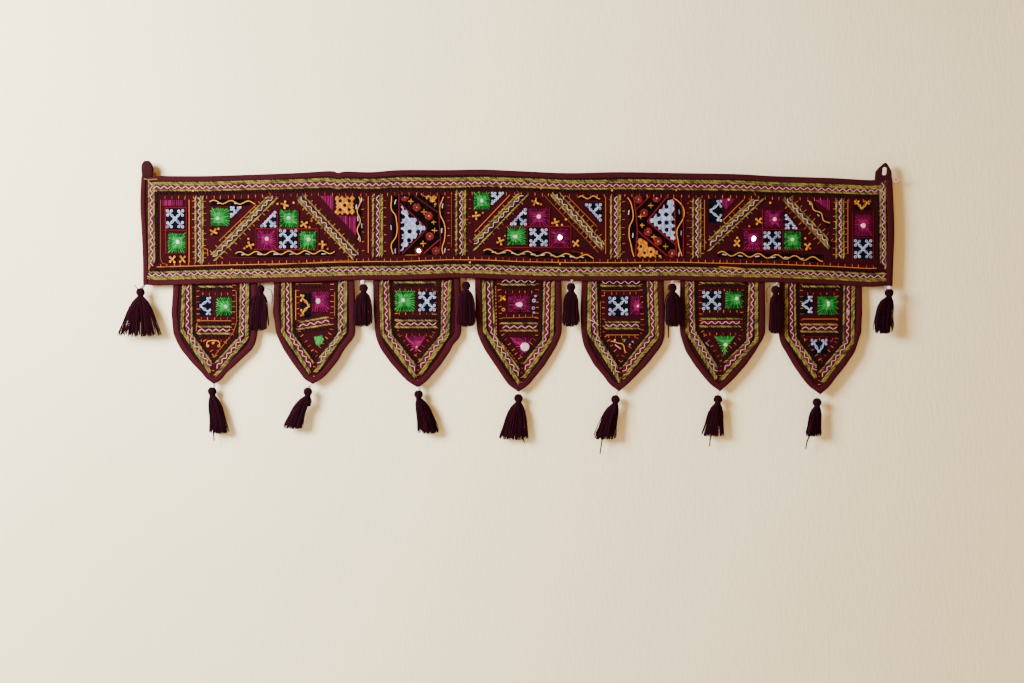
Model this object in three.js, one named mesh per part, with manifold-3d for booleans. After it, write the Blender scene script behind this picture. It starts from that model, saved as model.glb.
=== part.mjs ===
// Toran: an embroidered door hanging. A long stitched band in folded cloth
// binding hangs from two tape loops. Seven pointed flaps are sewn behind its
// lower edge, and yarn tassels hang between and below them.
// Units are mm. X runs along the band, -Y faces the viewer, +Z is up.
// The origin is the middle of the band's top edge.
import * as THREE from 'three';
import { mergeVertices } from 'three/addons/utils/BufferGeometryUtils.js';
import Module from 'manifold-3d';

const wasm = await Module();
wasm.setup();

// cloth and seams
const gap = 0.3;
const clothThick = 2.0;
const bindingThick = 1.0;
const bindingHalf = clothThick / 2 + gap + bindingThick;
const clothInset = bindingThick + gap;
const flapTuck = 6.0;
const flapSetback = 2 * bindingHalf + gap;
const threadRadius = 0.8;

// raised stitching
const braidWidth = 11.4;
const braidHeight = 1.2;
const braidRoot = 0.6;
const braidInset = 0.5;
const blockHeight = 0.9;

// binding widths on the band and the flaps
const topBinding = 7.5;
const bottomBinding = 7.2;
const leftBinding = 6.5;
const rightBinding = 9.0;
const flapBindingWidth = 8.0;

// band outline, left to right: x, top edge z, bottom edge z
const bandOutline = [
  [-498.7, -6.7, -150.7],
  [-476.0, -5.3, -151.3],
  [-412.0, -5.3, -149.3],
  [-348.0, -3.3, -148.0],
  [-294.7, -1.3, -146.7],
  [-249.3, 1.3, -145.3],
  [-238.7, -1.1, -144.7],
  [-228.0, 0.7, -144.7],
  [-193.3, 0.0, -144.0],
  [-156.0, 2.7, -144.0],
  [-92.0, 2.7, -141.6],
  [-44.0, 3.3, -141.9],
  [4.0, 1.3, -144.0],
  [68.0, -1.3, -145.3],
  [137.3, 0.0, -145.3],
  [212.0, -1.3, -144.8],
  [292.0, -2.7, -146.7],
  [340.0, -5.3, -147.3],
  [420.0, -8.0, -150.4],
  [468.0, -10.7, -153.3],
  [500.0, -9.3, -152.0],
];

// side edges of the band: x at five even steps from top to bottom
const leftEdge = [-501.1, -502.4, -500.6, -499.0, -498.7];
const rightEdge = [500.0, 501.7, 502.7, 501.3, 500.0];

// braids sewn across the band between its border braids: x, z at both ends
const bandBraids = [
  [-423.3, -34.0, -422.9, -120.0],
  [-324.7, -34.7, -403.7, -114.0],
  [-288.7, -34.0, -215.3, -112.0],
  [-185.6, -31.5, -185.6, -113.1],
  [-74.4, -25.7, -74.4, -109.6],
  [6.7, -32.7, -56.4, -96.9],
  [52.0, -31.3, 113.7, -95.3],
  [131.5, -32.7, 131.5, -114.1],
  [239.3, -36.0, 239.3, -113.1],
  [320.7, -37.1, 256.7, -98.4],
  [359.2, -37.2, 413.6, -94.7],
  [430.4, -37.2, 430.4, -114.1],
];

// stitched mirror blocks on the band, 26 mm square: centre x, z
const blockSize = 24.0;
const bandBlocks = [
  [-453.3, -94.7],
  [-395.3, -60.0],
  [-304.0, -62.7],
  [-333.3, -90.7],
  [-278.0, -91.3],
  [-46.7, -38.7],
  [28.7, -60.0],
  [-0.7, -85.3],
  [57.3, -87.6],
  [342.0, -62.7],
  [314.3, -90.7],
  [367.3, -91.3],
  [461.3, -70.7],
];

// flap sides are given at these shares of the way from shoulder to tip
const shoulderZ = -213.3;
const flapShares = [0, 0.11, 0.23, 0.35, 0.58, 0.80, 0.92];

// flaps: left and right x at the top, at each share, then the tip and the curl
// (tip forward, left edge forward; mm, towards the viewer)
const flaps = [
  {
    top: [-457.3, -346.7],
    left: [-457.3, -454.8, -450.8, -445.3, -432.2, -418.4, -411.4],
    right: [-346.7, -347.9, -349.3, -353.4, -369.1, -388.3, -395.3],
    tip: [-404.0, -282.0],
    curl: [3.0, 1.0],
  },
  {
    top: [-322.7, -217.3],
    left: [-320.0, -317.5, -313.4, -309.3, -298.8, -287.6, -280.7],
    right: [-214.7, -215.9, -222.5, -229.4, -239.9, -253.6, -263.0],
    tip: [-272.0, -282.0],
    curl: [6.0, -1.5],
  },
  {
    top: [-192.7, -76.0],
    left: [-188.0, -186.7, -183.6, -179.0, -166.2, -151.2, -142.5],
    right: [-74.7, -77.3, -85.7, -90.3, -101.8, -115.1, -122.4],
    tip: [-132.0, -286.0],
    curl: [4.0, 2.0],
  },
  {
    top: [-56.0, 59.3],
    left: [-52.0, -49.1, -44.4, -39.3, -27.4, -16.1, -8.7],
    right: [61.3, 59.8, 56.1, 48.9, 35.4, 21.8, 14.0],
    tip: [2.0, -290.7],
    curl: [2.5, 1.5],
  },
  {
    top: [86.7, 196.0],
    left: [86.7, 88.1, 90.1, 94.6, 104.7, 118.7, 125.3],
    right: [197.3, 195.9, 192.3, 185.8, 171.3, 155.2, 146.1],
    tip: [136.0, -289.3],
    curl: [4.5, 1.0],
  },
  {
    top: [218.0, 331.3],
    left: [218.7, 220.1, 223.2, 226.6, 238.1, 251.2, 259.3],
    right: [330.7, 327.8, 321.7, 315.6, 303.9, 289.3, 280.7],
    tip: [270.7, -289.3],
    curl: [3.5, -1.0],
  },
  {
    top: [350.7, 459.3],
    left: [350.7, 351.5, 354.7, 360.4, 370.8, 383.1, 391.0],
    right: [458.7, 455.8, 452.6, 448.3, 436.2, 422.2, 415.8],
    tip: [404.0, -292.0],
    curl: [5.0, -2.0],
  },
];

// tassels: the head's x and z, the skirt's lower end z, how far it reaches to
// the left and right of the head, its half depth, and one long loose lock
const tassels = [
  { name: 'tassel_band_1', head: [-501.3, -160.0], end: -220.0, spread: [-32.0, 29.3], depth: 5.5 },
  { name: 'tassel_band_2', head: [-341.3, -156.0], end: -212.0, spread: [-18.7, 12.0], depth: 3.6 },
  { name: 'tassel_band_3', head: [-204.0, -154.7], end: -206.7, spread: [-16.0, 13.3], depth: 3.6 },
  { name: 'tassel_band_4', head: [-68.0, -151.5], end: -206.7, spread: [-13.3, 14.7], depth: 3.6 },
  { name: 'tassel_band_5', head: [72.0, -153.3], end: -206.7, spread: [-13.3, 12.0], depth: 3.6 },
  { name: 'tassel_band_6', head: [206.7, -154.0], end: -206.7, spread: [-12.0, 17.3], depth: 3.6,
    loose: [201.3, -221.3] },
  { name: 'tassel_band_7', head: [344.0, -157.0], end: -216.0, spread: [-10.0, 10.0], depth: 3.6 },
  { name: 'tassel_band_8', head: [494.7, -161.0], end: -216.0, spread: [-24.0, 6.7], depth: 5.5 },
  { name: 'tassel_flap_1', head: [-406.7, -292.0], end: -349.3, spread: [-4.0, 24.0], depth: 5.5,
    loose: [-404.0, -358.7] },
  { name: 'tassel_flap_2', head: [-278.7, -292.5], end: -342.7, spread: [-35.0, -6.0], depth: 5.5 },
  { name: 'tassel_flap_3', head: [-131.3, -296.0], end: -349.3, spread: [-3.0, 29.0], depth: 5.5 },
  { name: 'tassel_flap_4', head: [2.0, -301.3], end: -358.0, spread: [-27.0, 14.0], depth: 5.5,
    loose: [10.0, -361.3] },
  { name: 'tassel_flap_5', head: [131.3, -302.7], end: -357.0, spread: [-31.0, 1.0], depth: 5.5,
    loose: [110.7, -376.0] },
  { name: 'tassel_flap_6', head: [268.0, -302.7], end: -353.3, spread: [-22.7, 9.3], depth: 5.5,
    loose: [256.7, -366.0] },
  { name: 'tassel_flap_7', head: [400.0, -306.7], end: -353.3, spread: [-16.0, 6.0], depth: 5.5,
    loose: [384.7, -369.3] },
];
const headRadius = 5.0;
const neckRadius = 3.2;
const shoulderDrop = 13.0;
const shoulderRadius = 5.8;
const locksPerRow = 7;
const lockRadius = 1.25;
const bandTasselCount = 8;
const bandTasselY = -3.6;
const cornerX = 495.5;

// hanging loops: a folded tape seen edge on, and a tape folded to a point
const leftLoopX = [-500.0, -485.5];
const leftLoopBase = -5.6;
const leftLoopOutline = [
  [1.75, 0.0],
  [2.6, 3.0],
  [4.5, 8.0],
  [4.9, 13.0],
  [4.0, 17.5],
  [1.9, 20.6],
];
const leftLoopEye = [
  [0, 3.0],
  [3.0, 8.2],
  [3.3, 13.0],
  [2.6, 16.6],
  [0.9, 18.8],
  [-0.9, 18.8],
  [-2.6, 16.6],
  [-3.3, 13.0],
  [-3.0, 8.2],
];
const rightLoopThick = 3.0;
const rightLoopOutline = [
  [476.4, -10.0],
  [499.6, -8.9],
  [499.2, 0.0],
  [497.0, 5.3],
  [493.4, 11.2],
  [490.7, 12.7],
  [488.0, 11.0],
  [481.6, 5.3],
  [477.6, 0.5],
];
const rightLoopSlit = [
  [486.6, -3.4],
  [488.0, -4.4],
  [491.0, -4.2],
  [492.0, -2.6],
  [492.6, 4.4],
  [491.2, 6.4],
  [488.4, 6.2],
  [487.2, 4.6],
];

function material(colour, roughness) {
  return new THREE.MeshStandardMaterial({ color: colour, roughness, metalness: 0 });
}
const groundMaterial = material(0x2a0c14, 0.9);
const bindingMaterial = material(0x581c24, 0.88);
const loopMaterial = material(0x4c1a20, 0.88);
const yarnMaterial = material(0x2c0d14, 0.92);

// value at x in a table of [x, value, value...] rows in rising or falling x
function lookUp(table, x, column) {
  const rising = table[0][0] < table[table.length - 1][0];
  const rows = rising ? table : [...table].reverse();
  let i = 1;
  while (i < rows.length - 1 && rows[i][0] < x) i += 1;
  const [a, b] = [rows[i - 1], rows[i]];
  const t = THREE.MathUtils.clamp((x - a[0]) / (b[0] - a[0]), 0, 1);
  return a[column] + (b[column] - a[column]) * t;
}

// how far the cloth stands back from flat at x, z
function clothY(x, z) {
  const sway = 0.9 * Math.sin(x / 118 + 0.7) + 0.5 * Math.sin(x / 47);
  return sway * (0.35 - z / 200);
}

// closed body from rings of equal length; capTriangles index one ring
function loftRings(rings, capTriangles) {
  const count = rings[0].length;
  const positions = rings.flat(2);
  const triangles = [];
  for (let i = 0; i + 1 < rings.length; i += 1) {
    for (let j = 0; j < count; j += 1) {
      const a = i * count + j;
      const b = i * count + (j + 1) % count;
      triangles.push([a, b, b + count], [a, b + count, a + count]);
    }
  }
  const last = (rings.length - 1) * count;
  for (const [a, b, c] of capTriangles) {
    triangles.push([a, c, b], [last + a, last + b, last + c]);
  }
  return closedGeometry(positions, triangles);
}

// drops flat triangles and turns every face outwards
function closedGeometry(positions, triangles) {
  const geometry = new THREE.BufferGeometry();
  geometry.setAttribute('position', new THREE.Float32BufferAttribute(positions, 3));
  geometry.setIndex(triangles.flat());
  const merged = mergeVertices(geometry, 1e-4);
  const index = Array.from(merged.index.array);
  const kept = [];
  for (let i = 0; i < index.length; i += 3) {
    const [a, b, c] = index.slice(i, i + 3);
    if (a !== b && b !== c && c !== a) kept.push([a, b, c]);
  }
  const corner = (i) => new THREE.Vector3().fromBufferAttribute(merged.attributes.position, i);
  const volume = kept.reduce((sum, [a, b, c]) => sum + corner(a).dot(corner(b).cross(corner(c))), 0);
  merged.setIndex((volume < 0 ? kept.map(([a, b, c]) => [a, c, b]) : kept).flat());
  return merged;
}

function toSolid(geometry) {
  geometry.deleteAttribute('normal');
  geometry.deleteAttribute('uv');
  const merged = mergeVertices(geometry, 1e-4);
  return new wasm.Manifold(new wasm.Mesh({
    numProp: 3,
    vertProperties: new Float32Array(merged.attributes.position.array),
    triVerts: new Uint32Array(merged.index.array),
  }));
}

function joined(geometries) {
  const solid = geometries.map(toSolid).reduce((sum, next) => sum.add(next));
  const mesh = solid.getMesh();
  const result = new THREE.BufferGeometry();
  result.setAttribute('position', new THREE.BufferAttribute(mesh.vertProperties, 3));
  result.setIndex(new THREE.BufferAttribute(mesh.triVerts, 1));
  return result;
}

// moves a polyline sideways by a distance with mitred corners (to its left)
function insetPath(path, distance) {
  return path.map((point, i) => {
    const before = path[Math.max(i - 1, 0)];
    const after = path[Math.min(i + 1, path.length - 1)];
    const into = unit(before, i > 0 ? point : after);
    const out = unit(i < path.length - 1 ? point : before, after);
    const sum = [into[0] + out[0], into[1] + out[1]];
    const length = Math.hypot(sum[0], sum[1]);
    const bend = length / 2;
    const normal = [-sum[1] / length, sum[0] / length];
    return [point[0] + (normal[0] * distance) / bend, point[1] + (normal[1] * distance) / bend];
  });
}

function unit(from, to) {
  const length = Math.hypot(to[0] - from[0], to[1] - from[1]);
  return [(to[0] - from[0]) / length, (to[1] - from[1]) / length];
}

// folded binding: a C section run along an edge path, open towards the cloth
function foldedBinding(path, width, surfaceY) {
  const edge = path;
  const fold = insetPath(path, bindingThick);
  const inner = insetPath(path, width);
  const inside = bindingHalf - bindingThick;
  const rings = path.map((_, i) => {
    const back = (point, y) => [point[0], surfaceY(point[0], point[1]) + y, point[1]];
    return [
      back(edge[i], bindingHalf),
      back(inner[i], bindingHalf),
      back(inner[i], inside),
      back(fold[i], inside),
      back(fold[i], -inside),
      back(inner[i], -inside),
      back(inner[i], -bindingHalf),
      back(edge[i], -bindingHalf),
    ];
  });
  const cap = [[0, 1, 2], [0, 2, 3], [0, 3, 4], [0, 4, 7], [4, 5, 6], [4, 6, 7]];
  return loftRings(rings, cap);
}

// cloth sheet from rows of x, z points, every row with the same count
function clothSheet(rows, surfaceY) {
  const half = clothThick / 2;
  const rings = rows.map((row) => {
    const front = row.map(([x, z]) => [x, surfaceY(x, z) - half, z]);
    const back = row.map(([x, z]) => [x, surfaceY(x, z) + half, z]).reverse();
    return [...front, ...back];
  });
  const cap = [];
  const count = rows[0].length;
  for (let i = 0; i + 1 < count; i += 1) {
    const opposite = 2 * count - 1 - i;
    cap.push([i, i + 1, opposite], [i + 1, opposite - 1, opposite]);
  }
  return loftRings(rings, cap);
}

// even steps from one x, z point to another
function evenRow(from, to, cells) {
  return Array.from({ length: cells + 1 }, (_, i) => [
    from[0] + ((to[0] - from[0]) * i) / cells,
    from[1] + ((to[1] - from[1]) * i) / cells,
  ]);
}

// raised strip along a path on the front face of the cloth
function raisedStrip(path, width, height, surfaceY) {
  const left = insetPath(path, width / 2);
  const right = insetPath(path, -width / 2);
  const face = -clothThick / 2;
  const at = (point, y) => [point[0], surfaceY(point[0], point[1]) + face + y, point[1]];
  const rings = path.map((_, i) => [
    at(left[i], braidRoot),
    at(right[i], braidRoot),
    at(right[i], -height),
    at(left[i], -height),
  ]);
  return loftRings(rings, [[0, 1, 2], [0, 2, 3]]);
}

function splitLine(x0, z0, x1, z1, step) {
  const count = Math.max(1, Math.round(Math.hypot(x1 - x0, z1 - z0) / step));
  return evenRow([x0, z0], [x1, z1], count);
}

const bandTop = (x) => lookUp(bandOutline, x, 1);
const bandBottom = (x) => lookUp(bandOutline, x, 2);

// points down a side edge of the band, moved sideways by an inset
function sidePath(edge, outlineRow, inset) {
  const [, top, bottom] = outlineRow;
  return edge.map((x, i) => [x + inset, top + ((bottom - top) * i) / (edge.length - 1)]);
}

// keeps a side path clear of the fold at the top and bottom edges
function trimEnds(path) {
  return path.map(([x, z], i) => {
    if (i === 0) return [x, z - clothInset];
    return i === path.length - 1 ? [x, z + clothInset] : [x, z];
  });
}

function bandPanel() {
  const lastRow = bandOutline[bandOutline.length - 1];
  const middle = bandOutline.slice(1, -1).map(([x, top, bottom]) => evenRow(
    [x, top - clothInset],
    [x, bottom + clothInset],
    leftEdge.length - 1,
  ));
  return clothSheet([
    trimEnds(sidePath(leftEdge, bandOutline[0], clothInset)),
    ...middle,
    trimEnds(sidePath(rightEdge, lastRow, -clothInset)),
  ], clothY);
}

// braid paths of the border, set in from the band's edges
function borderBraids() {
  const sideInset = braidWidth / 2 + braidInset;
  const left = Math.max(...leftEdge) + leftBinding + sideInset;
  const right = Math.min(...rightEdge) - rightBinding - sideInset;
  const topDrop = topBinding + sideInset + 2.5;
  const bottomRise = bottomBinding + sideInset;
  const xs = [left, ...bandOutline.map(([x]) => x).filter((x) => x > left + 9 && x < right - 9), right];
  const top = xs.map((x) => [x, bandTop(x) - topDrop]);
  const bottom = xs.map((x) => [x, bandBottom(x) + bottomRise]);
  const sideTop = -30.0;
  const sideBottom = -126.0;
  return [top, bottom, splitLine(left, sideTop, left, sideBottom, 48),
    splitLine(right, sideTop, right, sideBottom, 48)];
}

function buildBandPanel() {
  const pieces = [bandPanel()];
  for (const path of borderBraids()) {
    pieces.push(raisedStrip(path, braidWidth, braidHeight, clothY));
  }
  for (const [x0, z0, x1, z1] of bandBraids) {
    pieces.push(raisedStrip(splitLine(x0, z0, x1, z1, 48), braidWidth - 2, braidHeight, clothY));
  }
  for (const [x, z] of bandBlocks) {
    const path = [[x - blockSize / 2, z], [x + blockSize / 2, z]];
    pieces.push(raisedStrip(path, blockSize, blockHeight, clothY));
  }
  return joined(pieces);
}

// band edge paths run with the cloth on their left
function buildBandBindings() {
  const inner = (x) => x > bandOutline[0][0] + 20 && x < bandOutline[bandOutline.length - 1][0] - 20;
  const xs = bandOutline.map(([x]) => x).filter(inner);
  const seam = gap + 0.4;
  const ends = [Math.max(...leftEdge) + leftBinding + seam, Math.min(...rightEdge) - rightBinding - seam];
  const along = [ends[0], ...xs, ends[1]];
  const bottom = along.map((x) => [x, bandBottom(x)]);
  const top = [...along].reverse().map((x) => [x, bandTop(x)]);
  const left = sidePath(leftEdge, bandOutline[0], 0);
  const right = sidePath(rightEdge, bandOutline[bandOutline.length - 1], 0).reverse();
  return {
    binding_top: foldedBinding(top, topBinding, clothY),
    binding_bottom: foldedBinding(bottom, bottomBinding, clothY),
    binding_left: foldedBinding(left, leftBinding, clothY),
    binding_right: foldedBinding(right, rightBinding, clothY),
  };
}

// the flap stands behind the band and swings forward towards its tip
function flapSurface(flap) {
  const middle = (flap.top[0] + flap.top[1]) / 2;
  const halfWidth = (flap.top[1] - flap.top[0]) / 2;
  return (x, z) => {
    const drop = THREE.MathUtils.clamp((-165 - z) / (-165 - flap.tip[1]), 0, 1.2);
    const side = (middle - x) / halfWidth;
    const topY = clothY(x, -150) * (1 - 0.6 * drop);
    return topY + flapSetback - (flap.curl[0] * drop + flap.curl[1] * side) * drop;
  };
}

function flapTop(x) {
  return bandBottom(x) + flapTuck;
}

// down the left side, round the tip and up the right side
function flapPath(flap) {
  const level = (share) => shoulderZ + (flap.tip[1] - shoulderZ) * share;
  const left = flap.left.map((x, i) => [x, level(flapShares[i])]);
  const right = flap.right.map((x, i) => [x, level(flapShares[i])]).reverse();
  const topLeft = [flap.top[0], flapTop(flap.top[0])];
  const topRight = [flap.top[1], flapTop(flap.top[1])];
  return [topLeft, ...left, flap.tip, ...right, topRight];
}

function flapSheet(flap, surfaceY) {
  const path = insetPath(flapPath(flap), clothInset);
  const count = (path.length - 1) / 2;
  const rows = [];
  for (let i = 0; i <= count; i += 1) rows.push(evenRow(path[i], path[path.length - 1 - i], 4));
  return clothSheet(rows, surfaceY);
}

// braids down both sides to the tip, one at the top edge, one at the shoulder
function flapBraids(flap) {
  const inset = flapBindingWidth + braidWidth / 2 + 0.8;
  const shoulder = shoulderZ - 6;
  const topZ = -152.0;
  const outline = [
    [flap.top[0], topZ],
    [flap.left[0], shoulder],
    flap.tip,
    [flap.right[0], shoulder],
    [flap.top[1], topZ],
  ];
  const [topLeft, left, tip, right, topRight] = insetPath(outline, inset);
  const apart = braidWidth / 2;
  const bar = [[left[0] + apart, -201.0], [right[0] - apart, -201.0]];
  return {
    sides: [topLeft, left, tip, right, topRight],
    bar,
  };
}

function buildFlap(flap) {
  const surfaceY = flapSurface(flap);
  const { sides, bar } = flapBraids(flap);
  const outline = sides.flatMap((point, i) => {
    if (i === 0) return [point];
    return splitLine(...sides[i - 1], ...point, 30).slice(1);
  });
  const barPath = splitLine(...bar[0], ...bar[1], 30);
  return joined([
    flapSheet(flap, surfaceY),
    raisedStrip(outline, braidWidth - 2.5, braidHeight, surfaceY),
    raisedStrip(barPath, braidWidth - 2.5, braidHeight, surfaceY),
  ]);
}

function buildFlapBinding(flap) {
  return foldedBinding(flapPath(flap), flapBindingWidth, flapSurface(flap));
}

// steady spread of values between 0 and 1 for loose, uneven yarn
function uneven(seed) {
  const value = Math.sin(seed * 12.9898 + 4.1) * 43758.5453;
  return value - Math.floor(value);
}

// one yarn lock: a three-sided tapering rod along its points
function yarnLock(points, radii) {
  const rings = points.map(([x, y, z], i) => [0, 1, 2].map((k) => {
    const angle = (k * 2 * Math.PI) / 3 + 0.5;
    return [x + radii[i] * Math.cos(angle), y + radii[i] * Math.sin(angle), z];
  }));
  return loftRings(rings, [[0, 1, 2]]);
}

function tasselHead(tassel, centreY, hangPoint) {
  const [x, z] = tassel.head;
  const profile = [
    [0, headRadius * 0.86],
    [headRadius * 0.6, headRadius * 0.7],
    [headRadius, 0.6],
    [headRadius * 0.86, -2.6],
    [neckRadius, -4.6],
    [neckRadius + 0.4, -6.0],
    [shoulderRadius, -shoulderDrop],
    [0, -shoulderDrop],
  ].reverse();
  const head = new THREE.LatheGeometry(profile.map(([r, h]) => new THREE.Vector2(r, h)), 8);
  head.rotateX(Math.PI / 2);
  head.scale(1, tassel.depth > 4 ? 1 : 0.86, 1);
  head.translate(x, centreY, z);
  const thread = yarnLock([[x, centreY, z], hangPoint], [threadRadius, threadRadius]);
  return [head, thread];
}

// a head with a front and a back row of locks fanned out below it
function buildTassel(tassel, seed, centreY, hangPoint) {
  const [x, z] = tassel.head;
  const [toLeft, toRight] = tassel.spread;
  const pieces = tasselHead(tassel, centreY, hangPoint);
  const rootZ = z - shoulderDrop + 2.5;
  for (let i = 0; i < 2 * locksPerRow; i += 1) {
    const side = i % 2 === 0 ? -1 : 1;
    const across = (i + 0.5) / (2 * locksPerRow);
    const reach = toLeft + (toRight - toLeft) * across;
    const shorter = 7 * uneven(seed * 31 + i);
    const sway = 1.0 * (uneven(seed * 17 + i) - 0.5);
    const root = [x + 9.0 * (across - 0.5), centreY + 2.0 * side, rootZ];
    const stepTo = (share) => [
      root[0] + (x + reach - root[0]) * share ** 0.8 + sway * share,
      root[1] + (tassel.depth - lockRadius - 2.0) * side * share,
      rootZ + (tassel.end + shorter - rootZ) * share,
    ];
    pieces.push(yarnLock([root, stepTo(0.5), stepTo(1)], [0.65, lockRadius, 0.8]));
  }
  if (tassel.loose) {
    const [looseX, looseZ] = tassel.loose;
    const middle = [(x + looseX) / 2, centreY, (rootZ + looseZ) / 2];
    pieces.push(yarnLock([[x, centreY, rootZ], middle, [looseX, centreY, looseZ]], [0.6, 0.7, 0.6]));
  }
  return joined(pieces);
}

// the middle of the tassel's depth, and the point where its thread leaves the cloth
function tasselHang(tassel, index) {
  const [x, z] = tassel.head;
  if (index < bandTasselCount) {
    const edgeX = THREE.MathUtils.clamp(x, -cornerX, cornerX);
    const edgeZ = bandBottom(edgeX);
    const edgeY = clothY(edgeX, edgeZ);
    return { y: clothY(edgeX, z) + bandTasselY, point: [edgeX, edgeY, edgeZ - gap] };
  }
  const flap = flaps[index - bandTasselCount];
  const [tipX, tipZ] = flap.tip;
  const tipY = flapSurface(flap)(tipX, tipZ);
  return { y: tipY, point: [tipX, tipY, tipZ - gap] };
}

// tape folded over, so that its eye is open along the band
function buildLeftLoop() {
  const farSide = [...leftLoopOutline].reverse().map(([y, z]) => [-y, z]);
  const shape = flatShape([...leftLoopOutline, ...farSide], leftLoopEye);
  const [from, to] = leftLoopX;
  const loop = new THREE.ExtrudeGeometry(shape, { depth: to - from, bevelEnabled: false });
  const turn = new THREE.Matrix4().makeBasis(
    new THREE.Vector3(0, 1, 0),
    new THREE.Vector3(0, 0, 1),
    new THREE.Vector3(1, 0, 0),
  );
  loop.applyMatrix4(turn);
  loop.translate(from, clothY(from, 0), leftLoopBase);
  return joined([loop]);
}

// tape folded flat to a point, with a slit between its two legs
function buildRightLoop() {
  const shape = flatShape(rightLoopOutline, rightLoopSlit);
  const loop = new THREE.ExtrudeGeometry(shape, { depth: rightLoopThick, bevelEnabled: false });
  loop.rotateX(Math.PI / 2);
  loop.translate(0, clothY(rightLoopOutline[0][0], 0) + rightLoopThick / 2, 0);
  return joined([loop]);
}

function flatShape(outline, hole) {
  const points = (rows) => rows.map(([u, v]) => new THREE.Vector2(u, v));
  const shape = new THREE.Shape(points(outline));
  shape.holes.push(new THREE.Path(points(hole)));
  return shape;
}

const root = new THREE.Group();

function addMesh(name, geometry, slotMaterial) {
  const flat = geometry.index ? geometry.toNonIndexed() : geometry;
  flat.computeVertexNormals();
  const mesh = new THREE.Mesh(flat, slotMaterial.clone());
  mesh.name = name;
  root.add(mesh);
}

addMesh('band_panel', buildBandPanel(), groundMaterial);
for (const [name, geometry] of Object.entries(buildBandBindings())) {
  addMesh(name, geometry, bindingMaterial);
}
addMesh('loop_left', buildLeftLoop(), loopMaterial);
addMesh('loop_right', buildRightLoop(), loopMaterial);
flaps.forEach((flap, i) => {
  addMesh(`flap_${i + 1}`, buildFlap(flap), groundMaterial);
  addMesh(`flap_binding_${i + 1}`, buildFlapBinding(flap), bindingMaterial);
});
tassels.forEach((tassel, i) => {
  const hang = tasselHang(tassel, i);
  addMesh(tassel.name, buildTassel(tassel, i + 1, hang.y, hang.point), yarnMaterial);
});

export default root;
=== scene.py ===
# A Kutch toran, an embroidered door hanging: cloth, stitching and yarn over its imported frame.
import math
import random

import bmesh
import bpy
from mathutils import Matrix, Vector


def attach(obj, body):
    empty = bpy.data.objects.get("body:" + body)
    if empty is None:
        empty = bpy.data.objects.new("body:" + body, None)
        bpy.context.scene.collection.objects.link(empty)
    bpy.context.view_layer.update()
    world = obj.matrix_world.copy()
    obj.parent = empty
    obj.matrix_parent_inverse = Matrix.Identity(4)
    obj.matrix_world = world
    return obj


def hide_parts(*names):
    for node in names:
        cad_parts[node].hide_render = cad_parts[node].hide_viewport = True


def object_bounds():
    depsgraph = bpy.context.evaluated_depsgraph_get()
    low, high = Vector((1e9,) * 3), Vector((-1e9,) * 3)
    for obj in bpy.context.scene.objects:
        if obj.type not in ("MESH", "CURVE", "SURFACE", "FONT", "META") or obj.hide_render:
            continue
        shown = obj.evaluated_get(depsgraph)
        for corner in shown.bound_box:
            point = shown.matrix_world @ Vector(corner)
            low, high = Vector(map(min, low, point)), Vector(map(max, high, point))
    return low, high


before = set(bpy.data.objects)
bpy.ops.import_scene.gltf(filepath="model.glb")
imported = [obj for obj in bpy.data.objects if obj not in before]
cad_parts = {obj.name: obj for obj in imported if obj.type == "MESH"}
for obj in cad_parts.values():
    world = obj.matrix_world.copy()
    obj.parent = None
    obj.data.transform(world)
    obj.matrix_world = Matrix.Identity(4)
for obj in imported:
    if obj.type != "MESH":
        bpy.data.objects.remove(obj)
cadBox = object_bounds()
print("packed frame loaded")

mm = 0.001
squareMm = 4 / 3  # one square of the working chart that the stitching is laid out on


def chart(u, v):  # chart squares to mm, x along the band and z up
    return ((u - 517) * squareMm, (172 - v) * squareMm)


def chartPath(*points):
    return [chart(u, v) for u, v in points]


# nodes, finishes and meshes

def linear(hexColour):  # sRGB hex to linear
    parts = [int(hexColour[i:i + 2], 16) / 255 for i in (1, 3, 5)]
    return [c / 12.92 if c <= 0.04045 else ((c + 0.055) / 1.055) ** 2.4 for c in parts] + [1.0]


def addNode(tree, kind, inputs=None, **settings):
    node = tree.nodes.new(kind)
    for key, value in settings.items():
        setattr(node, key, value)
    for key, value in (inputs or {}).items():
        if isinstance(value, bpy.types.NodeSocket):
            tree.links.new(value, node.inputs[key])
        else:
            node.inputs[key].default_value = value
    return node


def startFinish(name):
    material = bpy.data.materials.new(name)
    material.use_nodes = True
    material.node_tree.nodes.clear()
    return material, material.node_tree


waveBand = 0.314  # how wide one band of a wave texture is at scale 1


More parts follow.
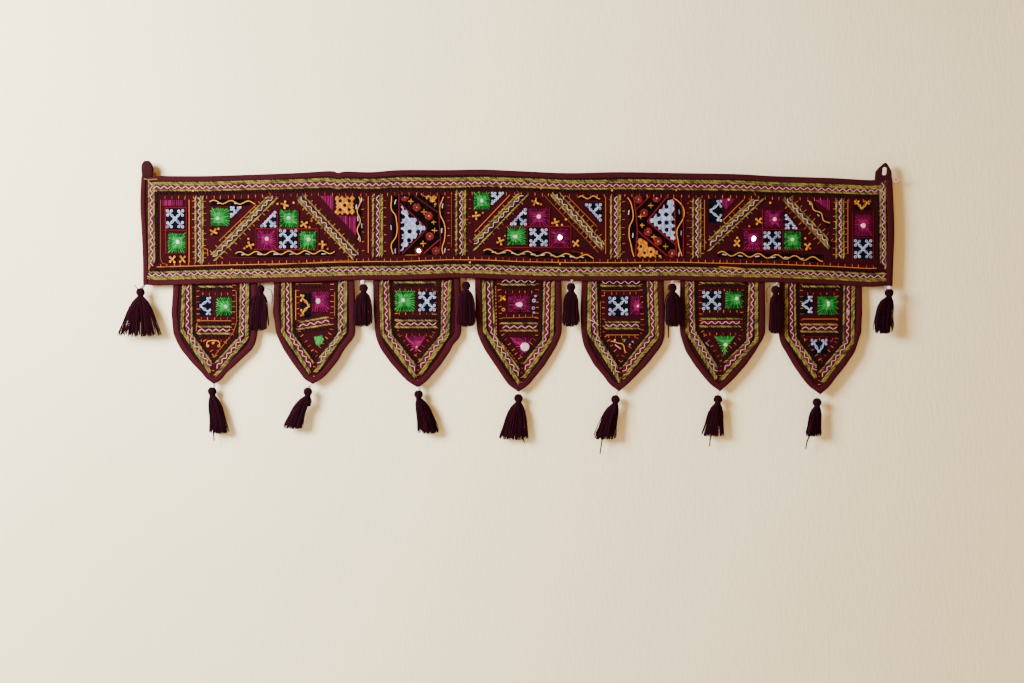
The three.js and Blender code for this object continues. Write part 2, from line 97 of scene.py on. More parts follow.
def clothFinish(name, cloth):
    material, tree = startFinish(name)
    place = addNode(tree, "ShaderNodeTexCoord").outputs["Object"]
    bands = waveBand / (cloth["weaveMm"] * mm)
    warp, weft = [addNode(tree, "ShaderNodeTexWave", {"Vector": place, "Scale": bands, "Distortion": 0.6},
                          bands_direction=way).outputs["Fac"] for way in "XZ"]
    weave = addNode(tree, "ShaderNodeMath", {0: warp, 1: weft}, operation="MULTIPLY")
    slub = addNode(tree, "ShaderNodeTexNoise", {
        "Vector": place, "Scale": 1 / (cloth["slubMm"] * mm), "Detail": 4.0}).outputs["Fac"]
    fade = addNode(tree, "ShaderNodeTexNoise", {"Vector": place, "Scale": 14.0, "Detail": 2.0}).outputs["Fac"]
    thread = addNode(tree, "ShaderNodeMix", {0: slub, 6: linear(cloth["dark"]), 7: linear(cloth["light"])},
                     data_type="RGBA").outputs[2]
    worn = addNode(tree, "ShaderNodeMix", {0: fade, 6: thread, 7: linear(cloth["worn"])},
                   data_type="RGBA").outputs[2]
    part = addNode(tree, "ShaderNodeMath", {0: fade, 1: 0.45}, operation="MULTIPLY")
    colour = addNode(tree, "ShaderNodeMix", {0: part.outputs[0], 6: thread, 7: worn}, data_type="RGBA")
    height = addNode(tree, "ShaderNodeMath", {0: weave.outputs[0], 1: slub}, operation="ADD")
    bump = addNode(tree, "ShaderNodeBump", {
        "Strength": cloth["relief"], "Distance": 0.0004, "Height": height.outputs[0]})
    shader = addNode(tree, "ShaderNodeBsdfPrincipled", {
        "Base Color": colour.outputs[2], "Roughness": cloth["roughness"], "Specular IOR Level": 0.05,
        "Sheen Weight": cloth["sheen"], "Sheen Roughness": 0.5, "Sheen Tint": linear(cloth["worn"]),
        "Normal": bump.outputs[0]})
    addNode(tree, "ShaderNodeOutputMaterial", {"Surface": shader.outputs[0]})
    return material


def threadFinish(name, thread):
    dark, light, roughness, gloss, sheen, plies = thread
    material, tree = startFinish(name)
    place = addNode(tree, "ShaderNodeTexCoord").outputs["Object"]
    shade, along, around = [addNode(tree, "ShaderNodeAttribute", attribute_name=label).outputs["Fac"]
                            for label in ("shade", "along", "around")]
    turn = addNode(tree, "ShaderNodeMath", {0: along, 1: plies, 2: around}, operation="MULTIPLY_ADD")
    angle = addNode(tree, "ShaderNodeMath", {0: turn.outputs[0], 1: 2 * math.pi}, operation="MULTIPLY")
    ply = addNode(tree, "ShaderNodeMath", {0: angle.outputs[0]}, operation="SINE")
    fibre = addNode(tree, "ShaderNodeTexNoise", {"Vector": place, "Scale": 1 / (0.7 * mm), "Detail": 3.0})
    tone = addNode(tree, "ShaderNodeMath", {0: fibre.outputs["Fac"], 1: 0.45, 2: -0.22},
                   operation="MULTIPLY_ADD")
    mixed = addNode(tree, "ShaderNodeMath", {0: shade, 1: tone.outputs[0]}, operation="ADD", use_clamp=True)
    colour = addNode(tree, "ShaderNodeMix", {0: mixed.outputs[0], 6: linear(dark), 7: linear(light)},
                     data_type="RGBA")
    height = addNode(tree, "ShaderNodeMath", {0: ply.outputs[0], 1: fibre.outputs["Fac"]}, operation="ADD")
    bump = addNode(tree, "ShaderNodeBump", {
        "Strength": 0.45, "Distance": 0.0002, "Height": height.outputs[0]})
    shader = addNode(tree, "ShaderNodeBsdfPrincipled", {
        "Base Color": colour.outputs[2], "Roughness": roughness, "Specular IOR Level": gloss,
        "Sheen Weight": sheen, "Sheen Roughness": 0.4, "Sheen Tint": linear(light),
        "Normal": bump.outputs[0]})
    addNode(tree, "ShaderNodeOutputMaterial", {"Surface": shader.outputs[0]})
    return material


# the cloths: weave is drawn at 1 mm, coarser than the real 0.3 mm, so that it shows at all
clothLooks = {
    # hand-loomed cotton, plain weave, dyed near-black maroon: matt, with slubs and a little fading
    "groundCotton": {"dark": "#130204", "light": "#2C050A", "worn": "#38080E", "weaveMm": 1.0, "slubMm": 2.2,
                     "relief": 0.5, "roughness": 0.92, "sheen": 0.04},
    # mill-woven cotton poplin cut on the straight: smoother, faint sheen along the folded edge
    "bindingPoplin": {"dark": "#25060A", "light": "#350B11", "worn": "#401318", "weaveMm": 0.9, "slubMm": 3.0,
                      "relief": 0.35, "roughness": 0.85, "sheen": 0.05},
    # woven cotton tape, folded double: a shade browner than the binding and rubbed along the fold
    "loopTape": {"dark": "#1E0609", "light": "#2E0B10", "worn": "#3C1317", "weaveMm": 1.1, "slubMm": 2.6,
                 "relief": 0.5, "roughness": 0.88, "sheen": 0.05},
}

threadLooks = {  # dark, light, roughness, gloss, sheen, turns of the plies to the metre
    # spun acrylic yarn, loosely twisted: dull, deep maroon, with the odd lighter strand
    "tasselYarn": ("#100307", "#2A0811", 0.9, 0.03, 0.04, 260.0),
    # rayon-covered cord, couched down: dull gold with an olive cast, a soft gleam on each turn
    "goldCord": ("#221C06", "#867829", 0.5, 0.15, 0.03, 500.0),
    # mercerised cotton embroidery thread, dyed black: small glints only
    "blackCord": ("#030303", "#12110E", 0.7, 0.06, 0.03, 500.0),
    "blackThread": ("#030303", "#0B0A0A", 0.75, 0.02, 0.01, 500.0),
    # two-ply white cotton over red, so it reads a little pink
    "whiteThread": ("#946C7E", "#DCB8C6", 0.7, 0.1, 0.04, 900.0),
    # untwisted cotton floss: soft sheen along the strands
    "crimsonThread": ("#320411", "#640A1F", 0.7, 0.08, 0.04, 700.0),
    "redThread": ("#2E0408", "#640A10", 0.7, 0.06, 0.04, 700.0),
    "orangeThread": ("#5C2C0A", "#BC621A", 0.65, 0.1, 0.03, 800.0),
    "amberThread": ("#7A3E02", "#D08408", 0.6, 0.1, 0.03, 700.0),
    # untwisted silk-like floss: brighter, with a clear sheen on each stitch
    "greenFloss": ("#044E11", "#239C33", 0.5, 0.20, 0.03, 60.0),
    "magentaFloss": ("#3E0022", "#8C004C", 0.5, 0.1, 0.03, 60.0),
    "whiteFloss": ("#5F6882", "#A8AEC0", 0.6, 0.16, 0.03, 400.0),
    "navyFloss": ("#030508", "#0B0F18", 0.7, 0.02, 0.03, 400.0),
    # twisted nylon sewing thread: thin, pale and slightly glassy
    "pinkThread": ("#A8606C", "#E8B4B4", 0.5, 0.4, 0.0, 900.0),
    "greyThread": ("#4A4A50", "#8C8C94", 0.5, 0.4, 0.0, 900.0),
    "vermilionFloss": ("#3C0802", "#7A1806", 0.55, 0.1, 0.03, 60.0),
}


def meshPiece(name, verts, faces, finish, recalculated=True):
    mesh = bpy.data.meshes.new(name)
    mesh.from_pydata([tuple(v) for v in verts], [], faces)
    if recalculated:
        work = bmesh.new()
        work.from_mesh(mesh)
        bmesh.ops.remove_doubles(work, verts=work.verts, dist=1e-6)
        bmesh.ops.recalc_face_normals(work, faces=work.faces)
        work.to_mesh(mesh)
        work.free()
    mesh.polygons.foreach_set("use_smooth", [True] * len(mesh.polygons))
    mesh.materials.append(finish)
    piece = bpy.data.objects.new(name, mesh)
    bpy.context.scene.collection.objects.link(piece)
    return piece


# plane geometry in mm

def lookUp(rows, x, column):
    i = 1
    while i < len(rows) - 1 and rows[i][0] < x:
        i += 1
    a, b = rows[i - 1], rows[i]
    t = min(max((x - a[0]) / (b[0] - a[0]), 0), 1)
    return a[column] + (b[column] - a[column]) * t


def between(a, b, t):
    return tuple(p + (q - p) * t for p, q in zip(a, b))


def resample(path, step=None, count=None):
    lengths = [math.dist(a, b) for a, b in zip(path, path[1:])]
    total = sum(lengths)
    count = count or max(2, round(total / step) + 1)
    points, i, done = [], 0, 0.0
    for k in range(count):
        want = total * k / (count - 1)
        while i < len(lengths) - 1 and done + lengths[i] < want:
            done += lengths[i]
            i += 1
        points.append(between(path[i], path[i + 1], min(1, (want - done) / max(lengths[i], 1e-9))))
    return points


def rounded(path, step):  # Catmull-Rom through the points
    result = []
    for i in range(len(path) - 1):
        a, b = path[max(i - 1, 0)], path[i]
        c, d = path[i + 1], path[min(i + 2, len(path) - 1)]
        pieces = max(1, round(math.dist(b, c) / step))
        for k in range(pieces):
            t = k / pieces
            result.append(tuple(
                0.5 * (2 * q + (r - p) * t + (2 * p - 5 * q + 4 * r - s) * t * t
                       + (3 * q - p - 3 * r + s) * t ** 3)
                for p, q, r, s in zip(a, b, c, d)))
    return result + [path[-1]]


def evened(path, step):  # long straight runs get points of their own, so that a curve keeps to them
    result = [path[0]]
    for a, b in zip(path, path[1:]):
        count = max(1, round(math.dist(a, b) / step))
        result += [between(a, b, (k + 1) / count) for k in range(count)]
    return result


def insetPath(path, distance):  # to the left of the way it runs, with mitred corners
    moved = []
    for i, point in enumerate(path):
        before, after = path[max(i - 1, 0)], path[min(i + 1, len(path) - 1)]
        into = unitStep(before, point if i > 0 else after)
        out = unitStep(point if i < len(path) - 1 else before, after)
        total = (into[0] + out[0], into[1] + out[1])
        length = math.hypot(*total)
        reach = distance / (length / 2) / length
        moved.append((point[0] - total[1] * reach, point[1] + total[0] * reach))
    return moved


def unitStep(a, b):
    length = math.dist(a, b) or 1
    return ((b[0] - a[0]) / length, (b[1] - a[1]) / length)


def polar(centre, angle, reach):
    return (centre[0] + math.cos(angle) * reach, centre[1] + math.sin(angle) * reach)


def ringPath(centre, radius, corners):  # closed, its first point given again at the end
    return [polar(centre, i * 2 * math.pi / corners, radius) for i in range(corners + 1)]


# the band and the flaps, cut as the frame's solids are

bandCut = {
    "outline": [  # x, top z, bottom z
        (-498.7, -6.7, -150.7), (-476.0, -5.3, -151.3), (-412.0, -5.3, -149.3), (-348.0, -3.3, -148.0),
        (-294.7, -1.3, -146.7), (-249.3, 1.3, -145.3), (-238.7, -1.1, -144.7), (-228.0, 0.7, -144.7),
        (-193.3, 0.0, -144.0), (-156.0, 2.7, -144.0), (-92.0, 2.7, -141.6), (-44.0, 3.3, -141.9),
        (4.0, 1.3, -144.0), (68.0, -1.3, -145.3), (137.3, 0.0, -145.3), (212.0, -1.3, -144.8),
        (292.0, -2.7, -146.7), (340.0, -5.3, -147.3), (420.0, -8.0, -150.4), (468.0, -10.7, -153.3),
        (500.0, -9.3, -152.0)],
    "leftEdge": [-501.1, -502.4, -500.6, -499.0, -498.7],  # x at even steps down each side
    "rightEdge": [500.0, 501.7, 502.7, 501.3, 500.0],
    "halfThick": 1.0,
    "inset": 1.3,
    "bindings": {"top": 7.5, "bottom": 7.2, "left": 6.5, "right": 9.0},
    "bindingHalf": 2.3,
}

flapCut = {
    "shoulder": -213.3,
    "bulgeZ": -187.0,  # the sides swell a little here, above the shoulder
    "shares": [0, 0.11, 0.23, 0.35, 0.58, 0.80, 0.92],  # of the way from shoulder to tip
    "binding": 8.0,
    "setback": 4.9,
    "tuck": 6.0,
    "rows": [
        {"top": (-459.0, -346.7), "left": [-459.4, -456.9, -453.0, -448.0, -435.2, -420.6, -413.4],
         "right": [-346.7, -347.9, -350.0, -354.9, -371.6, -387.8, -394.4], "tip": (-404.0, -282.0),
         "bulge": (-462.0, -346.0), "point": 0.8, "curl": (3.0, 1.0)},
        {"top": (-324.5, -217.3), "left": [-322.0, -319.4, -315.6, -311.2, -300.7, -289.3, -282.6],
         "right": [-216.0, -218.0, -224.4, -230.6, -239.8, -252.0, -261.0], "tip": (-272.0, -282.0),
         "bulge": (-325.6, -216.0), "point": 0.8, "curl": (6.0, -1.5)},
        {"top": (-192.7, -76.0), "left": [-189.6, -188.0, -184.8, -180.2, -168.0, -153.8, -144.4],
         "right": [-74.7, -77.3, -84.8, -89.4, -100.6, -113.8, -121.8], "tip": (-132.0, -286.0),
         "bulge": (-191.6, -74.0), "point": 1.6, "curl": (4.0, 2.0)},
        {"top": (-56.4, 59.3), "left": [-53.2, -50.5, -46.2, -41.1, -29.0, -17.7, -10.5],
         "right": [59.8, 57.2, 53.3, 48.0, 36.8, 22.9, 14.8], "tip": (2.0, -290.7),
         "bulge": (-55.6, 60.0), "point": 2.5, "curl": (2.5, 1.5)},
        {"top": (86.7, 196.0), "left": [85.6, 86.8, 89.0, 93.0, 102.9, 116.8, 123.6],
         "right": [197.3, 196.4, 193.2, 187.0, 173.0, 156.6, 147.2], "tip": (136.0, -289.3),
         "bulge": (84.8, 197.0), "point": 3.4, "curl": (4.5, 1.0)},
        {"top": (218.0, 331.3), "left": [217.7, 219.5, 222.4, 225.9, 237.0, 250.0, 258.2],
         "right": [331.4, 328.8, 323.4, 317.8, 305.6, 290.8, 281.4], "tip": (270.7, -289.3),
         "bulge": (217.4, 331.6), "point": 3.2, "curl": (3.5, -1.0)},
        {"top": (350.7, 460.6), "left": [349.8, 350.6, 353.8, 359.4, 369.6, 381.7, 389.6],
         "right": [459.4, 456.6, 453.6, 449.8, 437.6, 423.6, 416.4], "tip": (404.0, -292.0),
         "bulge": (349.2, 460.8), "point": 4.8, "curl": (5.0, -2.0)}],
}


def sway(x, z):
    return (0.9 * math.sin(x / 118 + 0.7) + 0.5 * math.sin(x / 47)) * (0.35 - z / 200)


def pucker(x, z):  # the small rise and fall that the stitching pulls into the cloth
    return 0.16 * math.sin(x * 0.31 + z * 0.13) * math.sin(z * 0.27 - x * 0.07)


def bandFace(x, z):
    return sway(x, z) - bandCut["halfThick"] + pucker(x, z)


def flapMiddle(flap):
    middle, half = sum(flap["top"]) / 2, (flap["top"][1] - flap["top"][0]) / 2

    def surface(x, z):
        drop = min(max((-165 - z) / (-165 - flap["tip"][1]), 0), 1.2)
        side = (middle - x) / half
        behind = sway(x, -150) * (1 - 0.6 * drop)
        return behind + flapCut["setback"] - (flap["curl"][0] * drop + flap["curl"][1] * side) * drop
    return surface


def bandTop(x):
    return lookUp(bandCut["outline"], x, 1)


def bandBottom(x):
    return lookUp(bandCut["outline"], x, 2)


def sideX(edge, share):
    place = share * (len(edge) - 1)
    i = min(int(place), len(edge) - 2)
    return edge[i] + (edge[i + 1] - edge[i]) * (place - i)


def flapPath(flap):  # down the left side, round the tip and up the right
    level = [flapCut["shoulder"] + (flap["tip"][1] - flapCut["shoulder"]) * s for s in flapCut["shares"]]
    left, right = list(zip(flap["left"], level)), list(zip(flap["right"], level))[::-1]
    corners = [(x, bandBottom(x) + flapCut["tuck"]) for x in flap["top"]]
    swell = [(x, flapCut["bulgeZ"]) for x in flap["bulge"]]
    tip = (flap["tip"][0], flap["tip"][1] - flap["point"])
    return [corners[0], swell[0], *left, tip, *right, swell[1], corners[1]]


def clothSheet(name, rows, middle, halfThick, finish):  # closed cloth from rows of x, z points
    columns = len(rows[0])
    verts, faces = [], []
    for side in (-1, 1):
        for row in rows:
            verts += [Vector((x, middle(x, z) + side * halfThick + pucker(x, z), z)) * mm for x, z in row]
    layer = len(rows) * columns
    for i in range(len(rows) - 1):
        for j in range(columns - 1):
            a = i * columns + j
            faces.append((a, a + 1, a + columns + 1, a + columns))
            b = a + layer
            faces.append((b + columns, b + columns + 1, b + 1, b))
    rim = ([*range(columns)] + [i * columns + columns - 1 for i in range(1, len(rows))]
           + [(len(rows) - 1) * columns + j for j in range(columns - 2, -1, -1)]
           + [i * columns for i in range(len(rows) - 2, 0, -1)])
    for a, b in zip(rim, rim[1:] + rim[:1]):
        faces.append((a, a + layer, b + layer, b))
    return meshPiece(name, verts, faces, finish)


def foldedStrip(name, path, width, middle, finish, seed, sharp=None):
    # a strip of cloth folded over the edge: a rounded C run along the path, puckered by its stitches
    chance = random.Random(seed)
    inner = insetPath(path, width)
    both = [(*a, *b) for a, b in zip(path, inner)]
    if sharp is None:
        rail = rounded(both, 4.0)
    else:
        rail = rounded(evened(both[:sharp + 1], 14), 3.5)[:-1] + rounded(evened(both[sharp:], 14), 3.5)
    half, wall = bandCut["bindingHalf"], 0.9
    phases = [chance.uniform(0, 6.28) for _ in range(4)]
    rings = []
    for k, (ex, ez, ix, iz) in enumerate(rail):
        wave = 0.5 * math.sin(k * 0.9 + phases[0]) + 0.5 * math.sin(k * 0.37 + phases[1])
        tug = 0.35 * math.sin(k * 1.7 + phases[2]) + 0.25 * math.sin(k * 0.61 + phases[3])
        section = [  # share of the width in from the edge, depth
            (1.0 + 0.03 * tug, -half + 0.45), (0.9, -half + 0.05 + 0.12 * wave), (0.55, -half + 0.1 * wave),
            (0.25, -half + 0.1), (0.08, -half * 0.72), (0.0, -half * 0.3), (0.0, half * 0.3),
            (0.08, half * 0.72), (0.25, half - 0.1), (0.9, half - 0.05), (1.0, half - 0.45),
            (1.0, half - wall), (0.22, half - wall), (0.13, 0.0), (0.22, wall - half), (1.0, wall - half)]
        ring = []
        for share, depth in section:
            x, z = ex + (ix - ex) * share, ez + (iz - ez) * share
            ring.append(Vector((x, middle(x, z) + depth, z)) * mm)
        rings.append(ring)
    return loft(name, rings, finish)


def loft(name, rings, finish, closed=False):
    count = len(rings[0])
    verts = [v for ring in rings for v in ring]
    faces = []
    for i in range(len(rings) if closed else len(rings) - 1):
        n = (i + 1) % len(rings)
        for j in range(count):
            m = (j + 1) % count
            faces.append((i * count + j, i * count + m, n * count + m, n * count + j))
    if not closed:
        faces.append(tuple(range(count)))
        faces.append(tuple(range(len(verts) - 1, len(verts) - count - 1, -1)))
    return meshPiece(name, verts, faces, finish)


groundFinish = clothFinish("groundCotton", clothLooks["groundCotton"])
bindingFinish = clothFinish("bindingPoplin", clothLooks["bindingPoplin"])
tapeFinish = clothFinish("loopTape", clothLooks["loopTape"])


def makeBandCloth():
    inset, rows = bandCut["inset"], []
    across, down = 330, 46
    for i in range(across + 1):
        row = []
        for j in range(down + 1):
            share = j / down
            left = sideX(bandCut["leftEdge"], share) + inset
            right = sideX(bandCut["rightEdge"], share) - inset
            x = left + (right - left) * i / across
            top, bottom = bandTop(x) - inset, bandBottom(x) + inset
            row.append((x, top + (bottom - top) * share))
        rows.append(row)
    return clothSheet("bandCloth", rows, sway, bandCut["halfThick"], groundFinish)


def makeBandBindings():
    outline, widths = bandCut["outline"], bandCut["bindings"]
    seam = 0.7
    first = max(bandCut["leftEdge"]) + widths["left"] + seam
    last = min(bandCut["rightEdge"]) - widths["right"] - seam
    xs = [first, *[x for x, _, _ in outline if outline[0][0] + 20 < x < outline[-1][0] - 20], last]
    sides = {}
    for name, row in (("left", outline[0]), ("right", outline[-1])):
        edge = bandCut[name + "Edge"]
        steps = len(edge) - 1
        sides[name] = [(x, row[1] + (row[2] - row[1]) * i / steps) for i, x in enumerate(edge)]
    paths = {
        "top": [(x, bandTop(x)) for x in reversed(xs)],
        "bottom": [(x, bandBottom(x)) for x in xs],
        "left": sides["left"],
        "right": sides["right"][::-1],
    }
    return {name: foldedStrip(f"binding{name.title()}", path, widths[name], sway, bindingFinish, i + 3)
            for i, (name, path) in enumerate(paths.items())}


def makeFlap(index, flap):
    middle = flapMiddle(flap)
    path = flapPath(flap)
    inner = insetPath(path, bandCut["inset"])
    count = (len(path) - 1) // 2
    left = rounded(evened(inner[:count + 1], 10), 3.5)
    right = rounded(evened(inner[:count - 1:-1], 10), 3.5)
    steps = max(len(left), len(right))
    left, right = resample(left, count=steps), resample(right, count=steps)
    rows = [[between(a, b, j / 34) for j in range(35)] for a, b in zip(left, right)]
    cloth = clothSheet(f"flapCloth{index + 1}", rows, middle, bandCut["halfThick"], groundFinish)
    binding = foldedStrip(f"flapBinding{index + 1}", path, flapCut["binding"], middle, bindingFinish,
                          40 + index, sharp=count)
    return cloth, binding


bandCloth = makeBandCloth()
bandBindings = makeBandBindings()
flaps = [makeFlap(i, flap) for i, flap in enumerate(flapCut["rows"])]
print("cloth and bindings made")

# hanging loops: the left one a tape folded front to back, the right one folded flat to a point
loopCut = {
    "leftX": (-500.0, -485.5),
    "leftBase": -5.6,
    "leftOutline": [(1.75, 0.0), (2.6, 3.0), (4.5, 8.0), (4.9, 13.0), (4.0, 17.5), (1.9, 20.6)],
    "leftEye": [(0, 3.0), (3.0, 8.2), (3.3, 13.0), (2.6, 16.6), (0.9, 18.8), (-0.9, 18.8), (-2.6, 16.6),
                (-3.3, 13.0), (-3.0, 8.2)],
    "rightOutline": [(476.4, -13.0), (499.6, -12.0), (499.2, 0.0), (497.0, 5.3), (493.4, 11.2), (490.7, 12.7),
                     (488.0, 11.0), (481.6, 5.3), (477.6, 0.5)],
    "rightSlit": [(486.6, -3.4), (488.0, -4.4), (491.0, -4.2), (492.0, -2.6), (492.6, 4.4), (491.2, 6.4),
                  (488.4, 6.2), (487.2, 4.6)],
    "rightThick": 3.0,
}


def aroundLoop(points, centre, count):  # a closed outline sampled by angle from a point inside it
    closed = points + points[:1]
    fine = resample(closed, count=600)
    ring = []
    for k in range(count):
        want = 2 * math.pi * k / count
        ring.append(min(fine, key=lambda p: abs(math.remainder(
            math.atan2(p[1] - centre[1], p[0] - centre[0]) - want, 2 * math.pi))))
    return ring


def makeLeftLoop():
    outline = loopCut["leftOutline"]
    outer = outline + [(-y, z) for y, z in reversed(outline)]
    centre, count = (0, 11.0), 44
    outerRing, eyeRing = aroundLoop(outer, centre, count), aroundLoop(loopCut["leftEye"], centre, count)
    (start, end), base = loopCut["leftX"], loopCut["leftBase"]
    middle = sway(start, 0)
    stations = [(0.0, 0.25), (0.04, 0.0), (0.35, 0.0), (0.65, 0.0), (0.96, 0.0), (1.0, 0.25)]
    rings = []
    for k in range(count):
        ring = []
        fold = max(0, outerRing[k][1] - 9) / 11.6  # the tape narrows and rounds off towards its fold
        low, high = start + 3.4 * fold ** 3, end - 1.6 * fold - 3.2 * fold ** 4
        drop = -3.4 if outerRing[k][1] < 1.0 else 0  # its raw ends are tucked into the binding
        for way in (stations, stations[::-1]):
            near, far = (outerRing[k], eyeRing[k]) if way is stations else (eyeRing[k], outerRing[k])
            for share, pinch in way:
                y, z = between(near, far, pinch)
                wave = 0.15 * math.sin(z * 0.7 + share * 5)
                ring.append(Vector((low + (high - low) * share, middle + y + wave, base + z + drop)) * mm)
        rings.append(ring)
    return loft("loopLeft", rings, tapeFinish, closed=True)


def makeRightLoop():
    centre, count = (489.8, 1.2), 52
    outer = aroundLoop(loopCut["rightOutline"], centre, count)
    slit = aroundLoop(loopCut["rightSlit"], centre, count)
    half, middle = loopCut["rightThick"] / 2, sway(476.4, 0)
    section = [(0.0, 0.35), (0.06, 0.85), (0.2, 1.0), (0.5, 0.92), (0.8, 1.0), (0.94, 0.85), (1.0, 0.35)]
    rings = []
    for k in range(count):
        ring = []
        for side, steps in ((-1, section), (1, section[::-1])):
            for share, depth in steps:
                x, z = between(outer[k], slit[k], share)
                ring.append(Vector((x, middle + side * depth * half, z)) * mm)
        rings.append(ring)
    return loft("loopRight", rings, tapeFinish, closed=True)


loopLeft, loopRight = makeLeftLoop(), makeRightLoop()
print("hanging loops made")


# node trees that repeat a shape or run a thread along a line

def newTree(name, sockets):
    tree = bpy.data.node_groups.new(name, "GeometryNodeTree")
    tree.interface.new_socket("Geometry", in_out="INPUT", socket_type="NodeSocketGeometry")
    for label, kind in sockets:
        tree.interface.new_socket(label, in_out="INPUT", socket_type=kind)
    tree.interface.new_socket("Geometry", in_out="OUTPUT", socket_type="NodeSocketGeometry")
    return tree, addNode(tree, "NodeGroupInput").outputs


def endTree(tree, geometry, material):
    smooth = addNode(tree, "GeometryNodeSetShadeSmooth", {"Geometry": geometry})
    real = addNode(tree, "GeometryNodeRealizeInstances", {"Geometry": smooth.outputs[0]})
    painted = addNode(tree, "GeometryNodeSetMaterial", {"Geometry": real.outputs[0], "Material": material})
    addNode(tree, "NodeGroupOutput", {0: painted.outputs[0]})


def threadSection(tree, sides):  # unit circle that knows how far round it each point is
    circle = addNode(tree, "GeometryNodeCurvePrimitiveCircle", {"Resolution": sides, "Radius": 1.0})
    factor = addNode(tree, "GeometryNodeSplineParameter").outputs["Factor"]
    return addNode(tree, "GeometryNodeStoreNamedAttribute", {
        "Geometry": circle.outputs[0], "Name": "around", "Value": factor}).outputs[0]


def tubeAlong(tree, path, resolution, sides, radius):
    # a round thread along each smoothed line, marked with how far along it each point is
    soft = addNode(tree, "GeometryNodeCurveSplineType", {"Curve": path}, spline_type="CATMULL_ROM")
    fine = addNode(tree, "GeometryNodeSetSplineResolution", {
        "Geometry": soft.outputs[0], "Resolution": resolution})
    length = addNode(tree, "GeometryNodeSplineParameter").outputs["Length"]
    marked = addNode(tree, "GeometryNodeStoreNamedAttribute", {
        "Geometry": fine.outputs[0], "Name": "along", "Value": length})
    return addNode(tree, "GeometryNodeCurveToMesh", {
        "Curve": marked.outputs[0], "Profile Curve": threadSection(tree, sides), "Scale": radius,
        "Fill Caps": True}).outputs[0]


def makeThreadTree():  # a thread along each line of the base, as thick as its own "thick" says
    tree, given = newTree("threadAlong", [("Sides", "NodeSocketInt"), ("Smoothness", "NodeSocketInt"),
                                          ("Material", "NodeSocketMaterial")])
    curve = addNode(tree, "GeometryNodeMeshToCurve", {"Mesh": given["Geometry"]})
    thick = addNode(tree, "GeometryNodeInputNamedAttribute", {"Name": "thick"}, data_type="FLOAT")
    tube = tubeAlong(tree, curve.outputs[0], given["Smoothness"], given["Sides"], thick.outputs[0])
    endTree(tree, tube, given["Material"])
    return tree


def linesPiece(name, lines):  # base for a thread tree: lines of (point, thickness), each with a shade
    verts, edges, thick, shade = [], [], [], []
    for line, tone in lines:
        start = len(verts)
        for point, radius in line:
            verts.append(tuple(point))
            thick.append(radius)
            shade.append(tone)
        edges += [(i, i + 1) for i in range(start, len(verts) - 1)]
    mesh = bpy.data.meshes.new(name)
    mesh.from_pydata(verts, edges, [])
    mesh.attributes.new("thick", "FLOAT", "POINT").data.foreach_set("value", thick)
    mesh.attributes.new("shade", "FLOAT", "POINT").data.foreach_set("value", shade)
    piece = bpy.data.objects.new(name, mesh)
    bpy.context.scene.collection.objects.link(piece)
    return piece


def grow(piece, tree, settings):  # runs the tree on the piece and keeps the result as its plain mesh
    modifier = piece.modifiers.new(tree.name, "NODES")
    modifier.node_group = tree
    for item in tree.interface.items_tree:
        if item.item_type == "SOCKET" and item.in_out == "INPUT" and item.name in settings:
            modifier[item.identifier] = settings[item.name]
    scene = bpy.context.evaluated_depsgraph_get()
    mesh = bpy.data.meshes.new_from_object(piece.evaluated_get(scene), preserve_all_data_layers=True,
                                           depsgraph=scene)
    piece.modifiers.remove(modifier)
    mesh.name = piece.name
    piece.data = mesh
    return piece


threadTree = makeThreadTree()
yarnFinish = threadFinish("tasselYarn", threadLooks["tasselYarn"])

tasselLooks = {
    "headRadius": 5.3, "neckRadius": 3.2, "neckDrop": 5.2,
    "strands": 150, "strandMm": 0.58, "headStrands": 30, "headStrandMm": 0.85, "unevenMm": 7.0,
    "bandY": -3.6, "cornerX": 495.5,
}
tasselRows = [  # name, head x and z, lower end z, reach left and right, half depth, loose lock
    ("tassel_band_1", (-501.3, -160.0), -220.0, (-32.0, 29.3), 5.5, None),
    ("tassel_band_2", (-341.3, -156.0), -212.0, (-18.7, 12.0), 3.6, None),
    ("tassel_band_3", (-204.0, -154.7), -206.7, (-16.0, 13.3), 3.6, None),
    ("tassel_band_4", (-68.0, -151.5), -206.7, (-13.3, 14.7), 3.6, None),
    ("tassel_band_5", (72.0, -153.3), -206.7, (-13.3, 12.0), 3.6, None),
    ("tassel_band_6", (206.7, -154.0), -206.7, (-12.0, 17.3), 3.6, (201.3, -221.3)),
    ("tassel_band_7", (344.0, -157.0), -216.0, (-10.0, 10.0), 3.6, None),
    ("tassel_band_8", (494.7, -161.0), -216.0, (-24.0, 6.7), 5.5, None),
    ("tassel_flap_1", (-406.7, -292.0), -349.3, (-4.0, 24.0), 5.5, (-404.0, -358.7)),
    ("tassel_flap_2", (-278.7, -292.5), -342.7, (-35.0, -6.0), 5.5, None),
    ("tassel_flap_3", (-131.3, -296.0), -349.3, (-3.0, 29.0), 5.5, None),
    ("tassel_flap_4", (2.0, -301.3), -358.0, (-27.0, 14.0), 5.5, (10.0, -361.3)),
    ("tassel_flap_5", (131.3, -302.7), -357.0, (-31.0, 1.0), 5.5, (110.7, -376.0)),
    ("tassel_flap_6", (268.0, -302.7), -353.3, (-22.7, 9.3), 5.5, (256.7, -366.0)),
    ("tassel_flap_7", (400.0, -306.7), -353.3, (-16.0, 6.0), 5.5, (384.7, -369.3)),
]


